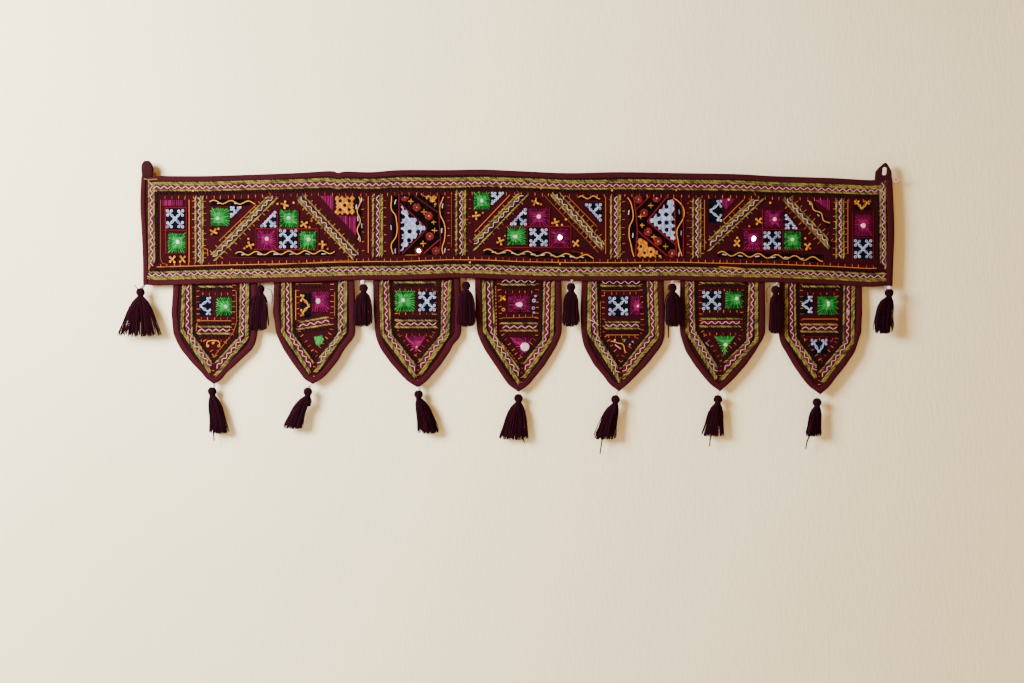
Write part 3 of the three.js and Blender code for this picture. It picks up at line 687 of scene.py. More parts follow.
def tasselPlace(index, head):  # the middle of the tassel's depth, and where its thread leaves the cloth
    x, z = head
    if index < 8:
        edgeX = min(max(x, -tasselLooks["cornerX"]), tasselLooks["cornerX"])
        edgeZ = bandBottom(edgeX)
        return sway(edgeX, z) + tasselLooks["bandY"], (edgeX, sway(edgeX, edgeZ), edgeZ + 0.6)
    flap = flapCut["rows"][index - 8]
    tipX, tipZ = flap["tip"]
    tipY = flapMiddle(flap)(tipX, tipZ)
    return tipY, (tipX, tipY, tipZ + 0.6)


def strandLine(points, radii, tone):
    return ([(Vector(p) * mm, r * mm) for p, r in zip(points, radii)], tone)


def tasselHeadLines(centre, flat, chance):
    x, y, z = centre
    radius, neck, drop = tasselLooks["headRadius"], tasselLooks["neckRadius"], tasselLooks["neckDrop"]
    core = [(4.2, 1.2), (3.2, 3.0), (0.5, 4.1), (-2.4, 3.6), (-5.2, 2.4), (-9.0, 3.6), (-13.0, 4.6),
            (-20.0, 3.8)]
    lines = [strandLine([(x, y, z + h) for h, _ in core], [r * flat for _, r in core], 0.05)]
    for k in range(tasselLooks["headStrands"]):
        angle = 2 * math.pi * (k + chance.uniform(-0.2, 0.2)) / tasselLooks["headStrands"]
        points = []
        for out, height in ((0.1, 0.9), (0.6, 0.72), (0.92, 0.2), (0.95, -0.35), (0.66, -0.85), (0.6, -1.05)):
            reach = radius * out * chance.uniform(0.94, 1.06)
            points.append((x + reach * math.cos(angle), y + reach * flat * math.sin(angle),
                           z + radius * height))
        size = tasselLooks["headStrandMm"]
        lines.append(strandLine(points, [size * 0.7, size, size, size, size * 0.8, size * 0.6],
                                chance.uniform(0.1, 0.8)))
    for k in range(4):  # the yarn wound round the neck
        level = z - drop + 1.2 - 0.85 * k
        turn = [(x + neck * 1.02 * math.cos(a), y + neck * flat * math.sin(a), level - 0.13 * a)
                for a in [i * 2 * math.pi / 10 for i in range(12)]]
        lines.append(strandLine(turn, [0.55] * len(turn), chance.uniform(0.2, 0.7)))
    return lines


def tasselSkirtLines(centre, end, reach, depth, fullness, chance):
    x, y, z = centre
    top = z - tasselLooks["neckDrop"]
    lines = []
    for _ in range(tasselLooks["strands"]):
        angle, out = chance.uniform(0, 2 * math.pi), math.sqrt(chance.random())
        across, through = math.cos(angle) * out, math.sin(angle) * out
        root = (2.9 * across, 2.3 * through)
        foot = (reach[0] + (reach[1] - reach[0]) * (across + 1) / 2, (depth - 0.9) * through)
        bottom = (end + tasselLooks["unevenMm"] * chance.random() ** 1.5 * (1 - 0.4 * out)
                  + fullness * 7 * across ** 4)
        phase, curl = chance.uniform(0, 6.28), chance.uniform(0.2, 0.9)
        points, steps = [], 7
        for i in range(steps + 1):
            t = i / steps
            belly = 3.4 * math.sin(math.pi * min(1, t * 1.5)) * (1 - t)
            spread = t ** (0.85 - 0.37 * fullness) * (1 - 0.1 * fullness * t ** 4)
            points.append((
                x + root[0] + (foot[0] - root[0]) * spread
                + across * belly * 0.7
                + curl * math.sin(phase + t * 7) * t,
                y + root[1] + (foot[1] - root[1]) * t ** 0.8 + 0.25 * math.sin(phase * 2 + t * 6) * t,
                top + (bottom - top) * t))
        size = tasselLooks["strandMm"] * chance.uniform(0.85, 1.15)
        sizes = [size * 1.1] + [size] * (steps - 1) + [size * 0.6]
        lines.append(strandLine(points, sizes, chance.random() ** 1.6))
    return lines


def makeTassel(index, row):
    name, head, end, reach, depth, loose = row
    chance = random.Random(500 + index)
    middleY, _ = tasselPlace(index, head)
    centre = (head[0], middleY, head[1])
    flat = 1.0 if depth > 4 else 0.86
    fullness = 0.2 if index == 0 else 0.95 if index < 8 else 0.3  # how far the skirt swells before it hangs
    lines = tasselHeadLines(centre, flat, chance)
    lines += tasselSkirtLines(centre, end, reach, depth, fullness, chance)
    if loose:
        steps = [(head[0], head[1] - 14), (head[0] + (loose[0] - head[0]) * 0.4 + 1.5, head[1] - 34),
                 (head[0] + (loose[0] - head[0]) * 0.8 - 1.0, head[1] - 52), loose]
        lines.append(strandLine([(x, middleY, z) for x, z in steps], [0.9, 0.95, 1.0, 0.8], 0.7))
    piece = linesPiece(name.replace("_", "-"), lines)
    return grow(piece, threadTree, {"Sides": 4, "Smoothness": 1, "Material": yarnFinish})


tassels = [makeTassel(i, row) for i, row in enumerate(tasselRows)]
print("tassels made")

# stitching: each stitch, cord and thread is laid on a face in mm, and node trees grow them from there

faces = {"band": bandFace}
for i, flap in enumerate(flapCut["rows"]):
    def flapFace(x, z, middle=flapMiddle(flap)):
        return middle(x, z) - bandCut["halfThick"] + pucker(x, z)
    faces[f"flap{i + 1}"] = flapFace

chance = random.Random(11)
laid, cordPaths, zigzagPaths, threadLines = {}, {}, {}, {}


def onFace(part, point, lift):
    return Vector((point[0], faces[part](*point) - lift, point[1])) * mm


def group(part):
    return "Band" if part == "band" else "Flaps"


def layStitch(finish, part, a, b, width, lift, depth=None):
    start, end = onFace(part, a, lift), onFace(part, b, lift)
    size = ((end - start).length, (depth or width * 0.7) * mm, width * mm)
    laid.setdefault((finish, group(part)), []).append(((start + end) / 2, end - start, size, chance.random()))


def layThread(finish, part, path, radius, lift, tone=None):
    tone = chance.random() if tone is None else tone
    line = ([(onFace(part, p, lift), radius * mm) for p in path], tone)
    threadLines.setdefault((finish, group(part)), []).append(line)


def pathOnFace(part, path, lift):
    return ([(onFace(part, p, lift), mm) for p in resample(path, step=3)], 0.5)


def layCord(finish, part, path, lift):
    cordPaths.setdefault((finish, group(part)), []).append(pathOnFace(part, path, lift))


def layZigzag(part, path, lift):
    zigzagPaths.setdefault(group(part), []).append(pathOnFace(part, path, lift))


def stripBetween(finish, part, first, second, pitch, radius, lift):
    # threads laid side by side, lengthwise between two lines
    count = max(2, round(math.dist(first[0], first[-1]) / 6))
    first, second = resample(first, count=count), resample(second, count=count)
    width = sum(math.dist(a, b) for a, b in zip(first, second)) / count
    threadCount = max(1, round(width / pitch))
    for k in range(threadCount):
        share = (k + 0.5) / threadCount
        layThread(finish, part, [between(a, b, share) for a, b in zip(first, second)], radius, lift)


def comb(part, path, reach, pitch, line=False):  # blanket stitch: ticks off the path, a line along it
    if line:
        layThread("orangeThread", part, resample(path, step=8), 0.48, 0.55)
    points = resample(path, step=pitch)
    for i in range(len(points) - 1):
        a, b = points[i], points[i + 1]
        step = unitStep(a, b)
        root = between(a, b, 0.5 + chance.uniform(-0.12, 0.12))
        out = reach * chance.uniform(0.95, 1.3)
        lean = chance.uniform(-0.15, 0.15)
        tip = (root[0] - step[1] * out + step[0] * lean * out, root[1] + step[0] * out + step[1] * lean * out)
        layStitch("orangeThread", part, root, tip, 1.0, 0.65)


braidLooks = {
    "cordLift": 0.9, "zigzagLift": 1.65, "stripLift": 0.45, "stripPitch": 1.45, "stripRadius": 0.85,
    "blackOff": 3.6, "blackLift": 0.7, "secondOff": 3.0, "secondLift": 0.75,
    "tickOff": 9.4, "tickReach": 4.4, "tickPitch": 8.8,
}


def braid(part, left, right, black=(1, 1), ticks=(1, 1), doubled=-1):
    look = braidLooks
    left, right = chartPath(*left), chartPath(*right)
    middle = [between(a, b, 0.5) for a, b in zip(resample(left, count=24), resample(right, count=24))]
    layCord("goldCord", part, left, look["cordLift"])
    layCord("goldCord", part, right, look["cordLift"])
    if doubled:
        second = insetPath(left if doubled < 0 else right, doubled * look["secondOff"])
        layCord("goldCord", part, second, look["secondLift"])
    stripBetween("crimsonThread", part, *[
        [between(a, b, share) for a, b in zip(resample(left, count=24), resample(right, count=24))]
        for share in (0.22, 0.78)], look["stripPitch"], look["stripRadius"], look["stripLift"])
    layZigzag(part, middle, look["zigzagLift"])
    for line, side, isBlack, isTicked in ((left, -1, black[0], ticks[0]), (right, 1, black[1], ticks[1])):
        if isBlack:
            off = look["blackOff"] + (look["secondOff"] - 0.8 if side == doubled else 0)
            layCord("blackCord", part, insetPath(line, side * off), look["blackLift"])
        if isTicked:
            comb(part, insetPath(line, side * look["tickOff"]), side * look["tickReach"], look["tickPitch"])


def boxOutline(u0, v0, u1, v1):
    return chartPath((u0, v0), (u1, v0), (u1, v1), (u0, v1))


def fillShape(finish, part, outline, turn, pitch, width, lift, holes=(), longest=30.0, depth=None):
    # parallel stitches across a closed outline, broken where it is pierced
    cosT, sinT = math.cos(math.radians(turn)), math.sin(math.radians(turn))

    def flatTurn(p):
        return (p[0] * cosT + p[1] * sinT, -p[0] * sinT + p[1] * cosT)

    def turnBack(p):
        return (p[0] * cosT - p[1] * sinT, p[0] * sinT + p[1] * cosT)

    shape = [flatTurn(p) for p in outline]
    low, high = min(p[1] for p in shape), max(p[1] for p in shape)
    count = max(1, round((high - low) / pitch))
    turnedHoles = [(*flatTurn(h[:2]), h[2]) for h in holes]
    for k in range(count):
        level = low + (high - low) * (k + 0.5) / count
        cuts = sorted(a[0] + (b[0] - a[0]) * (level - a[1]) / (b[1] - a[1])
                      for a, b in zip(shape, shape[1:] + shape[:1]) if (a[1] > level) != (b[1] > level))
        for start, end in zip(cuts[::2], cuts[1::2]):
            spans = [(start, end)]
            for hx, hz, radius in turnedHoles:
                if abs(hz - level) < radius:
                    gap = math.sqrt(radius ** 2 - (hz - level) ** 2)
                    split = [span for s, e in spans
                             for span in ((s, min(e, hx - gap)), (max(s, hx + gap), e))]
                    spans = [(s, e) for s, e in split if e - s > 0.7]
            for s, e in spans:
                runs = max(1, math.ceil((e - s) / longest))
                for i in range(runs):
                    ends = [turnBack((s + (e - s) * (i + t) / runs, level)) for t in (-0.03, 1.03)]
                    layStitch(finish, part, *ends, width, lift, depth)


def rayToBox(centre, angle, box):  # how far the box's edge is from the centre that way
    dx, dz = math.cos(angle), math.sin(angle)
    reach = 1e9
    for low, high, start, step in ((box[0], box[2], centre[0], dx), (box[1], box[3], centre[1], dz)):
        if abs(step) > 1e-6:
            reach = min(reach, ((high if step > 0 else low) - start) / step)
    return reach


mirrorRows = []  # part, centre, radii across and up, tilt in degrees about z and x


def mirrorBlock(part, finish, box, mirror, across=2.7, up=2.7, tilt=(0, 0)):
    # long stitches from the mirror to the block's edges, dark gaps between them and filler close in
    (x0, z1), (x1, z0) = chart(*box[:2]), chart(*box[2:])
    edges = (x0, z0, x1, z1)
    centre = chart(*mirror)
    rays, fillers = 30, 22
    for k in range(rays):
        angle = 2 * math.pi * (k + chance.uniform(-0.2, 0.2)) / rays
        reach = rayToBox(centre, angle, edges) * chance.uniform(0.9, 1.04)
        near, far = polar(centre, angle, max(across, up) * 0.7), polar(centre, angle, reach)
        layStitch(finish, part, near, far, chance.uniform(1.0, 1.35), 0.7 + 0.25 * (k % 2), 1.0)
        gapAngle = angle + math.pi / rays
        edge = rayToBox(centre, gapAngle, edges)
        if edge > 6:
            start = polar(centre, gapAngle, edge * chance.uniform(0.5, 0.62))
            layStitch("blackThread", part, start, polar(centre, gapAngle, edge), 1.05, 1.35, 0.8)
    for k in range(fillers):
        angle = 2 * math.pi * (k + chance.uniform(-0.2, 0.2)) / fillers
        layStitch(finish, part, polar(centre, angle, 1.9), polar(centre, angle, 6.8), 1.5, 0.8, 0.9)
    fillShape(finish, part, [(x0 + 1, z0 + 1), (x1 - 1, z0 + 1), (x1 - 1, z1 - 1), (x0 + 1, z1 - 1)],
              0, 1.7, 2.0, 0.25, depth=0.8)
    addMirror(part, centre, across, up, tilt, finish)


def addMirror(part, centre, across, up, tilt, finish):  # held by a ring of buttonhole stitches
    mirrorRows.append((part, centre, across, up, tilt))
    for k in range(16):
        c, s = math.cos(2 * math.pi * k / 16), math.sin(2 * math.pi * k / 16)
        near = (centre[0] + c * (across - 0.35), centre[1] + s * (up - 0.35))
        far = (centre[0] + c * (across + 1.2), centre[1] + s * (up + 1.2))
        layStitch(finish, part, near, far, 1.0, 1.55, 0.9)


def mirrorFan(part, finish, box, mirror, radius):
    # a block that narrows downwards, its stitches fanning up from the mirror
    (x0, z1), (x1, z0) = chart(*box[:2]), chart(*box[2:])
    centre = chart(*mirror)
    middleX = (x0 + x1) / 2
    count = 19
    for k in range(count):
        share = k / (count - 1)
        top = (x0 + (x1 - x0) * share, z1 - 1.0 * abs(math.sin(share * 9)))
        a = between(centre, top, 0.12)
        layStitch(finish, part, a, between(centre, top, chance.uniform(0.88, 1.05)), 1.2, 0.75, 0.9)
    for side in (x0, x1):
        for k in range(7):
            edge = between((side, z1), (middleX, z0), (k + 0.5) / 7)
            layStitch(finish, part, between(centre, edge, 0.1), edge, 1.4, 0.7, 0.9)
    for k in range(9):
        top = (x0 + (x1 - x0) * (k + 0.5) / 9, z1)
        layStitch("blackThread", part, between(centre, top, 0.5), between(centre, top, 0.85), 0.8, 1.2, 0.6)
    addMirror(part, centre, radius, radius, (0, 0), finish)


def knob(part, finish, centre, radius):
    layThread(finish, part, ringPath(centre, radius, 7), 0.66, 1.25)


knotCorners = {"upperLeft": (-1, 1), "upperRight": (1, 1), "lowerLeft": (-1, -1), "lowerRight": (1, -1)}
knotMiddles = {"left": (0.86, 0.5), "right": (0.14, 0.5), "top": (0.5, 0.14), "bottom": (0.5, 0.86)}


def knotMotif(part, finish, box, half):
    # the interlaced cross: two arms woven over each other and three knobs at each arm's end;
    # half keeps one side of it, or the triangle at one corner
    (x0, z1), (x1, z0) = chart(*box[:2]), chart(*box[2:])
    wide, tall = x1 - x0, z1 - z0
    corner = knotCorners.get(half)
    square = {(-1, -1): (x0, z0), (1, -1): (x1, z0), (1, 1): (x1, z1), (-1, 1): (x0, z1)}
    missing = (-corner[0], -corner[1]) if corner else None
    ground = [p for key, p in square.items() if key != missing]
    fillShape("navyFloss", part, ground, 0, 1.6, 1.9, 0.3, depth=0.9)
    share = knotMiddles.get(half, (0.5, 0.5))
    centre = (x0 + share[0] * wide, z0 + share[1] * tall)
    kept = [(sx, sz) for sx, sz in square if (sx, sz) != missing
            and {"left": sx < 0, "right": sx > 0, "top": sz > 0, "bottom": sz < 0}.get(half, True)]
    knobRadius = min(1.5, min(wide, tall) * 0.065)
    for sx, sz in kept:
        edge = square[(sx, sz)]
        end = (edge[0] - sx * 0.19 * wide, edge[1] - sz * 0.19 * tall)
        step, length = unitStep(centre, end), math.dist(centre, end)
        for side in (-1, 1):  # two threads that cross over each other half way
            path = []
            for k in range(9):
                swing = 1.2 * math.cos(math.pi * 2 * k / 8) * side
                path.append((centre[0] + step[0] * length * k / 8 - step[1] * swing,
                             centre[1] + step[1] * length * k / 8 + step[0] * swing))
            layThread(finish, part, path, 0.66, 1.1 + 0.25 * side)
        knob(part, finish, (end[0] + sx * 0.09 * wide, end[1] + sz * 0.09 * tall), knobRadius)
        for dx, dz in ((-sx * 0.12 * wide, sz * 0.08 * tall), (sx * 0.08 * wide, -sz * 0.12 * tall)):
            tip = (end[0] + dx + chance.uniform(-0.3, 0.3), end[1] + dz + chance.uniform(-0.3, 0.3))
            if corner and (sx, sz) != corner and dx * corner[0] + dz * corner[1] < -0.1:
                continue
            layStitch(finish, part, end, tip, 1.3, 1.05, 1.2)
            knob(part, finish, tip, knobRadius * 0.95)
    if not half and wide > 15:
        layThread(finish, part, ringPath(centre, 2.3, 9), 0.8, 1.3)


def ringWheel(part, mid, radius, eye, half):
    centre = chart(*mid)
    for k in range(18):
        angle = 2 * math.pi * k / 18
        if half and math.sin(angle) > 0.1:
            continue
        near, far = polar(centre, angle, eye + 0.2), polar(centre, angle, radius)
        layStitch("vermilionFloss", part, near, far, 1.75, 0.85 + 0.15 * (k % 2), 1.1)
    if eye > 2:
        mirrorRows.append((part, centre, eye + 0.3, eye + 0.3, (-21, 6)))
    else:
        knob(part, "greyThread", centre, 0.6)


def crossStitch(part, mid, size, turn):
    centre = chart(*mid)
    for arm in (0, math.pi / 2):
        a = arm + math.radians(turn)
        dx, dz = math.cos(a) * size / 2, math.sin(a) * size / 2
        layStitch("amberThread", part, (centre[0] - dx, centre[1] - dz), (centre[0] + dx, centre[1] + dz),
                  1.2, 0.7)
        layStitch("amberThread", part, (centre[0] - dx * 0.9, centre[1] - dz * 0.9 + 0.7),
                  (centre[0] + dx * 0.9, centre[1] + dz * 0.9 + 0.5), 0.8, 0.95)


def sprig(part, mid, size, turn):  # small amber flower: four fat petals, knots and a dark ground
    centre = chart(*mid)
    for k in range(4):
        tip = polar(centre, math.radians(turn + 90 * k + chance.uniform(-14, 14)), size)
        layStitch("amberThread", part, between(centre, tip, 0.05), tip, 2.7, 0.75, 1.1)
        knob(part, "amberThread", tip, 1.0)
    corners = [(centre[0] + dx * size * 1.2, centre[1] + dz * size * 1.2)
               for dx, dz in ((-1, -1), (1, -1), (1, 1), (-1, 1))]
    fillShape("blackThread", part, corners, 0, 1.7, 2.0, 0.2, depth=0.7)


def wavyCord(part, path, amp, period):
    fine = resample(rounded(chartPath(*path), 4), step=2.4)
    offset = [amp * squareMm * math.sin(2 * math.pi * i * 2.4 / (period * squareMm))
              for i in range(len(fine))]
    moved = []
    for i, p in enumerate(fine):
        step = unitStep(fine[max(i - 1, 0)], fine[min(i + 1, len(fine) - 1)])
        moved.append((p[0] - step[1] * offset[i], p[1] + step[0] * offset[i]))
    layThread("amberThread", part, moved, 0.66, 0.95, 0.75)


def dashes(part, places, turn=0, length=6.2):
    for place in places:
        centre, a = chart(*place), math.radians(turn + chance.uniform(-12, 12))
        layStitch("whiteFloss", part, polar(centre, a, -length / 2), polar(centre, a, length / 2), 1.5, 0.85)


def redLine(part, *points, radius=0.85):
    layThread("redThread", part, resample(chartPath(*points), step=7), radius, 0.55)


def orangeLine(part, *points):
    layThread("orangeThread", part, resample(chartPath(*points), step=7), 0.52, 0.6)


def serrated(outline, tooth, depth):  # saw the sides of a closed outline
    result = []
    for a, b in zip(outline, outline[1:] + outline[:1]):
        count = max(1, round(math.dist(a, b) / tooth))
        step = unitStep(a, b)
        for k in range(count):
            for t, deep in ((0.0, 1.0), (0.5, 0.0)):
                p = between(a, b, (k + t) / count)
                result.append((p[0] + step[1] * depth * deep, p[1] - step[0] * depth * deep))
    return result


def piercedPlate(part, finish, outline, holes, turn=0, holeRadius=3.0):
    outline = chartPath(*outline)
    area = sum(a[0] * b[1] - b[0] * a[1] for a, b in zip(outline, outline[1:] + outline[:1]))
    if area < 0:
        outline = outline[::-1]
    fillShape("navyFloss", part, outline, 0, 1.6, 1.9, 0.25, depth=0.8)
    pierced = [(*chart(*hole), holeRadius) for hole in holes]
    fillShape(finish, part, serrated(outline, 7.6, -3.0), turn, 1.15, 1.35, 0.95, pierced, longest=6.0)


# the band's borders: how far each cord lies from the edge in mm, along the chart
borderRows = {
    "top": {"span": (154, 881),
            "outer": [(200, 10.7), (250, 10.5), (330, 11.7), (440, 13.3), (540, 12), (600, 12.7), (700, 11.6),
                      (780, 11), (860, 10.7)],
            "inner": [(200, 19.3), (250, 19.6), (330, 21), (440, 23), (540, 20.7), (600, 22), (700, 21.6),
                      (780, 20.4), (860, 18.7)],
            "tickOff": 7.4, "line": False},
    "bottom": {"span": (149, 884),
               "outer": [(147, 9.9), (330, 9.0), (887, 9.0)], "inner": [(147, 17.2), (887, 17.0)],
               "tickOff": 7.4, "line": True},
}


def makeBorders():
    look = braidLooks
    for name, row in borderRows.items():
        edge, side = (bandTop, -1) if name == "top" else (bandBottom, 1)
        first, last = row["span"]

        def line(table, extra=0.0, ends=0.0):
            points = []
            for k in range(190):
                u = first + ends + (last - first - 2 * ends) * k / 189
                x = chart(u, 0)[0]
                points.append((x, edge(x) + side * (lookUp(table, u, 1) + extra)))
            return points

        outer, inner = line(row["outer"]), line(row["inner"])
        layCord("goldCord", "band", line(row["outer"], -1.3), look["cordLift"])
        layCord("goldCord", "band", line(row["outer"], 1.1), look["cordLift"])
        layCord("goldCord", "band", inner, look["cordLift"])
        stripBetween("crimsonThread", "band", line(row["outer"], 3.0), line(row["inner"], -1.8),
                     look["stripPitch"], look["stripRadius"], look["stripLift"])
        layZigzag("band", [between(a, b, 0.56) for a, b in zip(outer, inner)], look["zigzagLift"])
        layCord("blackCord", "band", line(row["inner"], look["blackOff"], 6), 0.7)
        layCord("blackCord", "band", line(row["outer"], -3.5, 4), 0.5)
        comb("band", line(row["inner"], row["tickOff"], 8), side * 3.8, 9.3, line=row["line"])
    sides = [(((149.3, 181), (149.6, 270)), ((154, 184), (154.7, 262))),
             (((879.9, 184), (880.2, 262)), ((884.4, 182), (884.9, 268)))]
    for left, right in sides:
        braid("band", left, right, black=(0, 1) if left[0][0] < 200 else (1, 0), ticks=(0, 0), doubled=0)


makeBorders()
for left, right in (
        (((195.9, 197.5), (196.2, 262)), ((203.1, 197.5), (203.4, 262))),
        (((212.7, 254.2), (268.6, 196.5)), ((215.6, 260.2), (278.4, 197.4))),
        (((297.9, 200), (352.9, 258.5))[::-1], ((303.1, 195), (358.1, 253.5))[::-1]),
        (((373.3, 195.6), (373.3, 256.8)), ((382.3, 195.6), (382.3, 256.8))),
        (((456.6, 191.3), (456.6, 254.2)), ((465.2, 191.3), (465.2, 254.2))),
        (((474.4, 239.5), (517.8, 194.4)), ((474.7, 249.9), (527.2, 195.6))),
        (((601.3, 249), (551.3, 195.6)), ((603.9, 243.9), (560.8, 194.8))),
        (((611.1, 196.5), (611.1, 257.6)), ((620, 196.5), (620, 257.6))),
        (((692.9, 199), (692.9, 256.8)), ((700.3, 199), (700.3, 256.8))),
        (((709.7, 239.5), (751.9, 199.9)), ((708.9, 250.7), (763.1, 199.1))),
        (((827.7, 248.2), (782.9, 199.9)), ((827.7, 239.5), (789.8, 199.1))),
        (((836, 199.9), (836, 257.6)), ((843.2, 199.9), (843.2, 257.6)))):
    if left[0][1] > left[1][1]:  # climbing, so its right hand is the other cord
        braid("band", left, right)
    else:
        braid("band", right, left)
print("borders and braids laid")

for outline in (  # dark floss under the wavy cords and round the pierced triangles
        ((392, 195), (444, 195), (444, 255), (392, 255)), ((629, 197), (682, 199), (682, 257), (631, 257)),
        ((236, 250.8), (335, 250.8), (335, 256), (236, 257.2)),
        ((484, 249), (592, 254), (592, 260), (484, 255)),
        ((717, 250.8), (823, 255), (823, 262), (717, 257)),
        ((210, 199.5), (254, 200), (249, 206), (210, 206)),
        ((356, 197), (362, 197), (362, 242), (356, 242)), ((805, 200), (809, 200), (831, 224), (827, 227)),
        ((578, 195.6), (601, 195.6), (601, 200), (580, 200))):
    fillShape("blackThread", "band", chartPath(*outline), 0, 1.7, 2.0, 0.15, depth=0.7)

bandBlocks = [  # finish, box, mirror, radii, tilt
    ("greenFloss", (168, 233, 186, 253), (178, 242), 2.7, 2.9, (0, 0)),
    ("greenFloss", (211, 208, 230, 226.5), (218.2, 218.5), 2.5, 2.5, (0, 0)),
    ("greenFloss", (280, 210, 298.5, 228), (288.8, 218), 2.7, 2.7, (0, 0)),
    ("greenFloss", (300, 231, 316.5, 250), (309, 239.5), 2.6, 2.8, (0, 0)),
    ("greenFloss", (473.5, 192, 490, 210), (481.6, 200.8), 2.4, 2.8, (0, 0)),
    ("greenFloss", (507, 227, 526, 245.5), (515.2, 236.6), 3.4, 2.4, (0, 0)),
    ("greenFloss", (784, 231, 801, 250), (792, 239.5), 2.6, 2.6, (0, 0)),
    ("magentaFloss", (257, 230, 277, 250), (267.2, 239), 2.7, 2.7, (0, 0)),
    ("magentaFloss", (528, 208, 549, 226.5), (538.8, 216.6), 3.0, 3.0, (0, 0)),
    ("magentaFloss", (550, 228, 570, 247.5), (559.4, 237.5), 3.9, 3.7, (-26, 5)),
    ("magentaFloss", (764, 210, 783, 228.5), (774.3, 219.4), 2.7, 2.7, (0, 0)),
    ("magentaFloss", (743.5, 230, 762, 250), (752.8, 238.7), 3.6, 3.9, (-32, 5)),
    ("magentaFloss", (854, 214, 872, 236.5), (862.7, 225.8), 3.0, 3.4, (0, 0)),
]
for finish, box, mirror, across, up, tilt in bandBlocks:
    mirrorBlock("band", finish, box, mirror, across, up, tilt)

for box, half in (
        ((166, 209, 185, 229), None), ((230.5, 206.5, 242, 218), "upperLeft"),
        ((260.5, 211, 277, 228), "lowerRight"), ((279, 229, 298, 249), None),
        ((491, 192, 504, 205), "upperLeft"), ((510, 208, 527, 226), "lowerRight"),
        ((529, 228, 548, 247), None), ((585, 203, 602, 222), "upperRight"),
        ((708, 199, 722, 223), "right"), ((763, 231, 781, 250), None), ((784.5, 214, 797, 230), "lowerLeft"),
        ((853, 239, 872, 259), None)):
    knotMotif("band", "whiteFloss", box, half=half)

for finish, outline, turn in (  # plain filled shapes
        ("magentaFloss", ((163, 200), (183, 200), (183, 206), (163, 206)), 90),
        ("magentaFloss", ((320, 196), (334.5, 195.6), (334.5, 212.5)), 90),
        ("magentaFloss", ((338, 215.5), (356, 216.5), (356, 235)), 90),
        ("magentaFloss", ((717.5, 199), (734.7, 199), (726, 209.4)), 90),
        ("magentaFloss", ((814, 200), (829.5, 200), (829.5, 211)), 90)):
    fillShape(finish, "band", chartPath(*outline), turn, 1.4, 1.5, 0.5)
    fillShape("blackThread", "band", chartPath(*outline), turn, 2.8, 0.6, 0.95)
addMirror("band", chart(728.3, 199.9), 1.5, 1.5, (0, 0), "magentaFloss")

for points in (  # red frames between the blocks
        ((256, 229), (318, 229)), ((254, 249.8), (318, 249.8)), ((278, 212), (278, 250)),
        ((299, 212), (299, 250)), ((256.5, 229), (256.5, 250)), ((318.5, 229), (318.5, 250)),
        ((505, 226.5), (571, 226.5)), ((505, 247.5), (571, 247.5)), ((505.5, 226.5), (505.5, 247.5)),
        ((527.5, 207), (527.5, 247.5)), ((549.5, 207), (549.5, 247.5)), ((571, 226.5), (571, 247.5)),
        ((742, 229.5), (804, 229.5)), ((742, 250), (804, 250)), ((762.5, 209), (762.5, 250)),
        ((783, 209), (783, 250)), ((165.6, 207.7), (166.5, 253.3)), ((165, 207.7), (187, 207.7)),
        ((165, 230.5), (187, 230.5)), ((165, 253.3), (187, 253.3)), ((187, 207.7), (187, 253.3)),
        ((229, 257.6), (257, 257.6)), ((484, 248.5), (508, 248.5)), ((571, 251), (590, 254)),
        ((852.5, 212.5), (852.5, 259)), ((873, 212.5), (873, 259)), ((852.5, 237.6), (873, 237.6))):
    redLine("band", *points)

for points in (
        ((161, 200), (161, 263), (168, 264.6)), ((189.5, 200), (189.5, 263)), ((162, 267), (184.6, 266)),
        ((256.6, 205), (219.5, 241)), ((267.8, 265.4), (354, 260.2)), ((368.5, 196.5), (368.5, 253)),
        ((451.6, 194), (451.6, 247)), ((475, 232), (510, 195)), ((544, 195.4), (598.6, 252.5)),
        ((567, 196), (597, 226.6)), ((605.7, 197), (605.7, 254)), ((704.3, 200), (704.3, 250)),
        ((743.3, 200), (722.7, 220.6)), ((847.5, 200), (847.5, 254))):
    orangeLine("band", *points)

for mid in ((214, 232), (250.5, 245.5), (285, 205), (304.5, 224.5), (323, 245), (476.5, 216), (500.5, 241.5),
            (535.5, 202), (555.5, 222.5), (576, 243.5), (758.5, 221.5), (737, 243.5), (807.5, 246.5)):
    sprig("band", mid, 4.2, chance.uniform(0, 90))
for mid in ((219, 229), (245, 248.5), (310, 227.5), (312, 221), (328, 249), (249, 239), (483, 213),
            (505, 236), (541, 204.5), (562, 225), (566, 219.5), (582, 253.5), (749, 226.5), (737, 238),
            (805, 238.5), (770, 203), (294, 203), (278, 204)):
    knob("band", "amberThread", chart(*mid), 0.9)
knotMotif("band", "amberThread", (853, 200.8, 870, 210.3), half="top")
for mid in ((173, 259.5), (183, 259.5)):
    sprig("band", mid, 4.4, 45)
piercedPlate("band", "amberThread", ((335, 196), (355, 196), (355, 215), (335, 215)),
             ((340.5, 201), (349.5, 201), (345, 205.5), (340.5, 210), (349.5, 210), (335.3, 205.5),
              (354.7, 205.5), (345, 196.4), (345, 214.6)), turn=45, holeRadius=2.4)

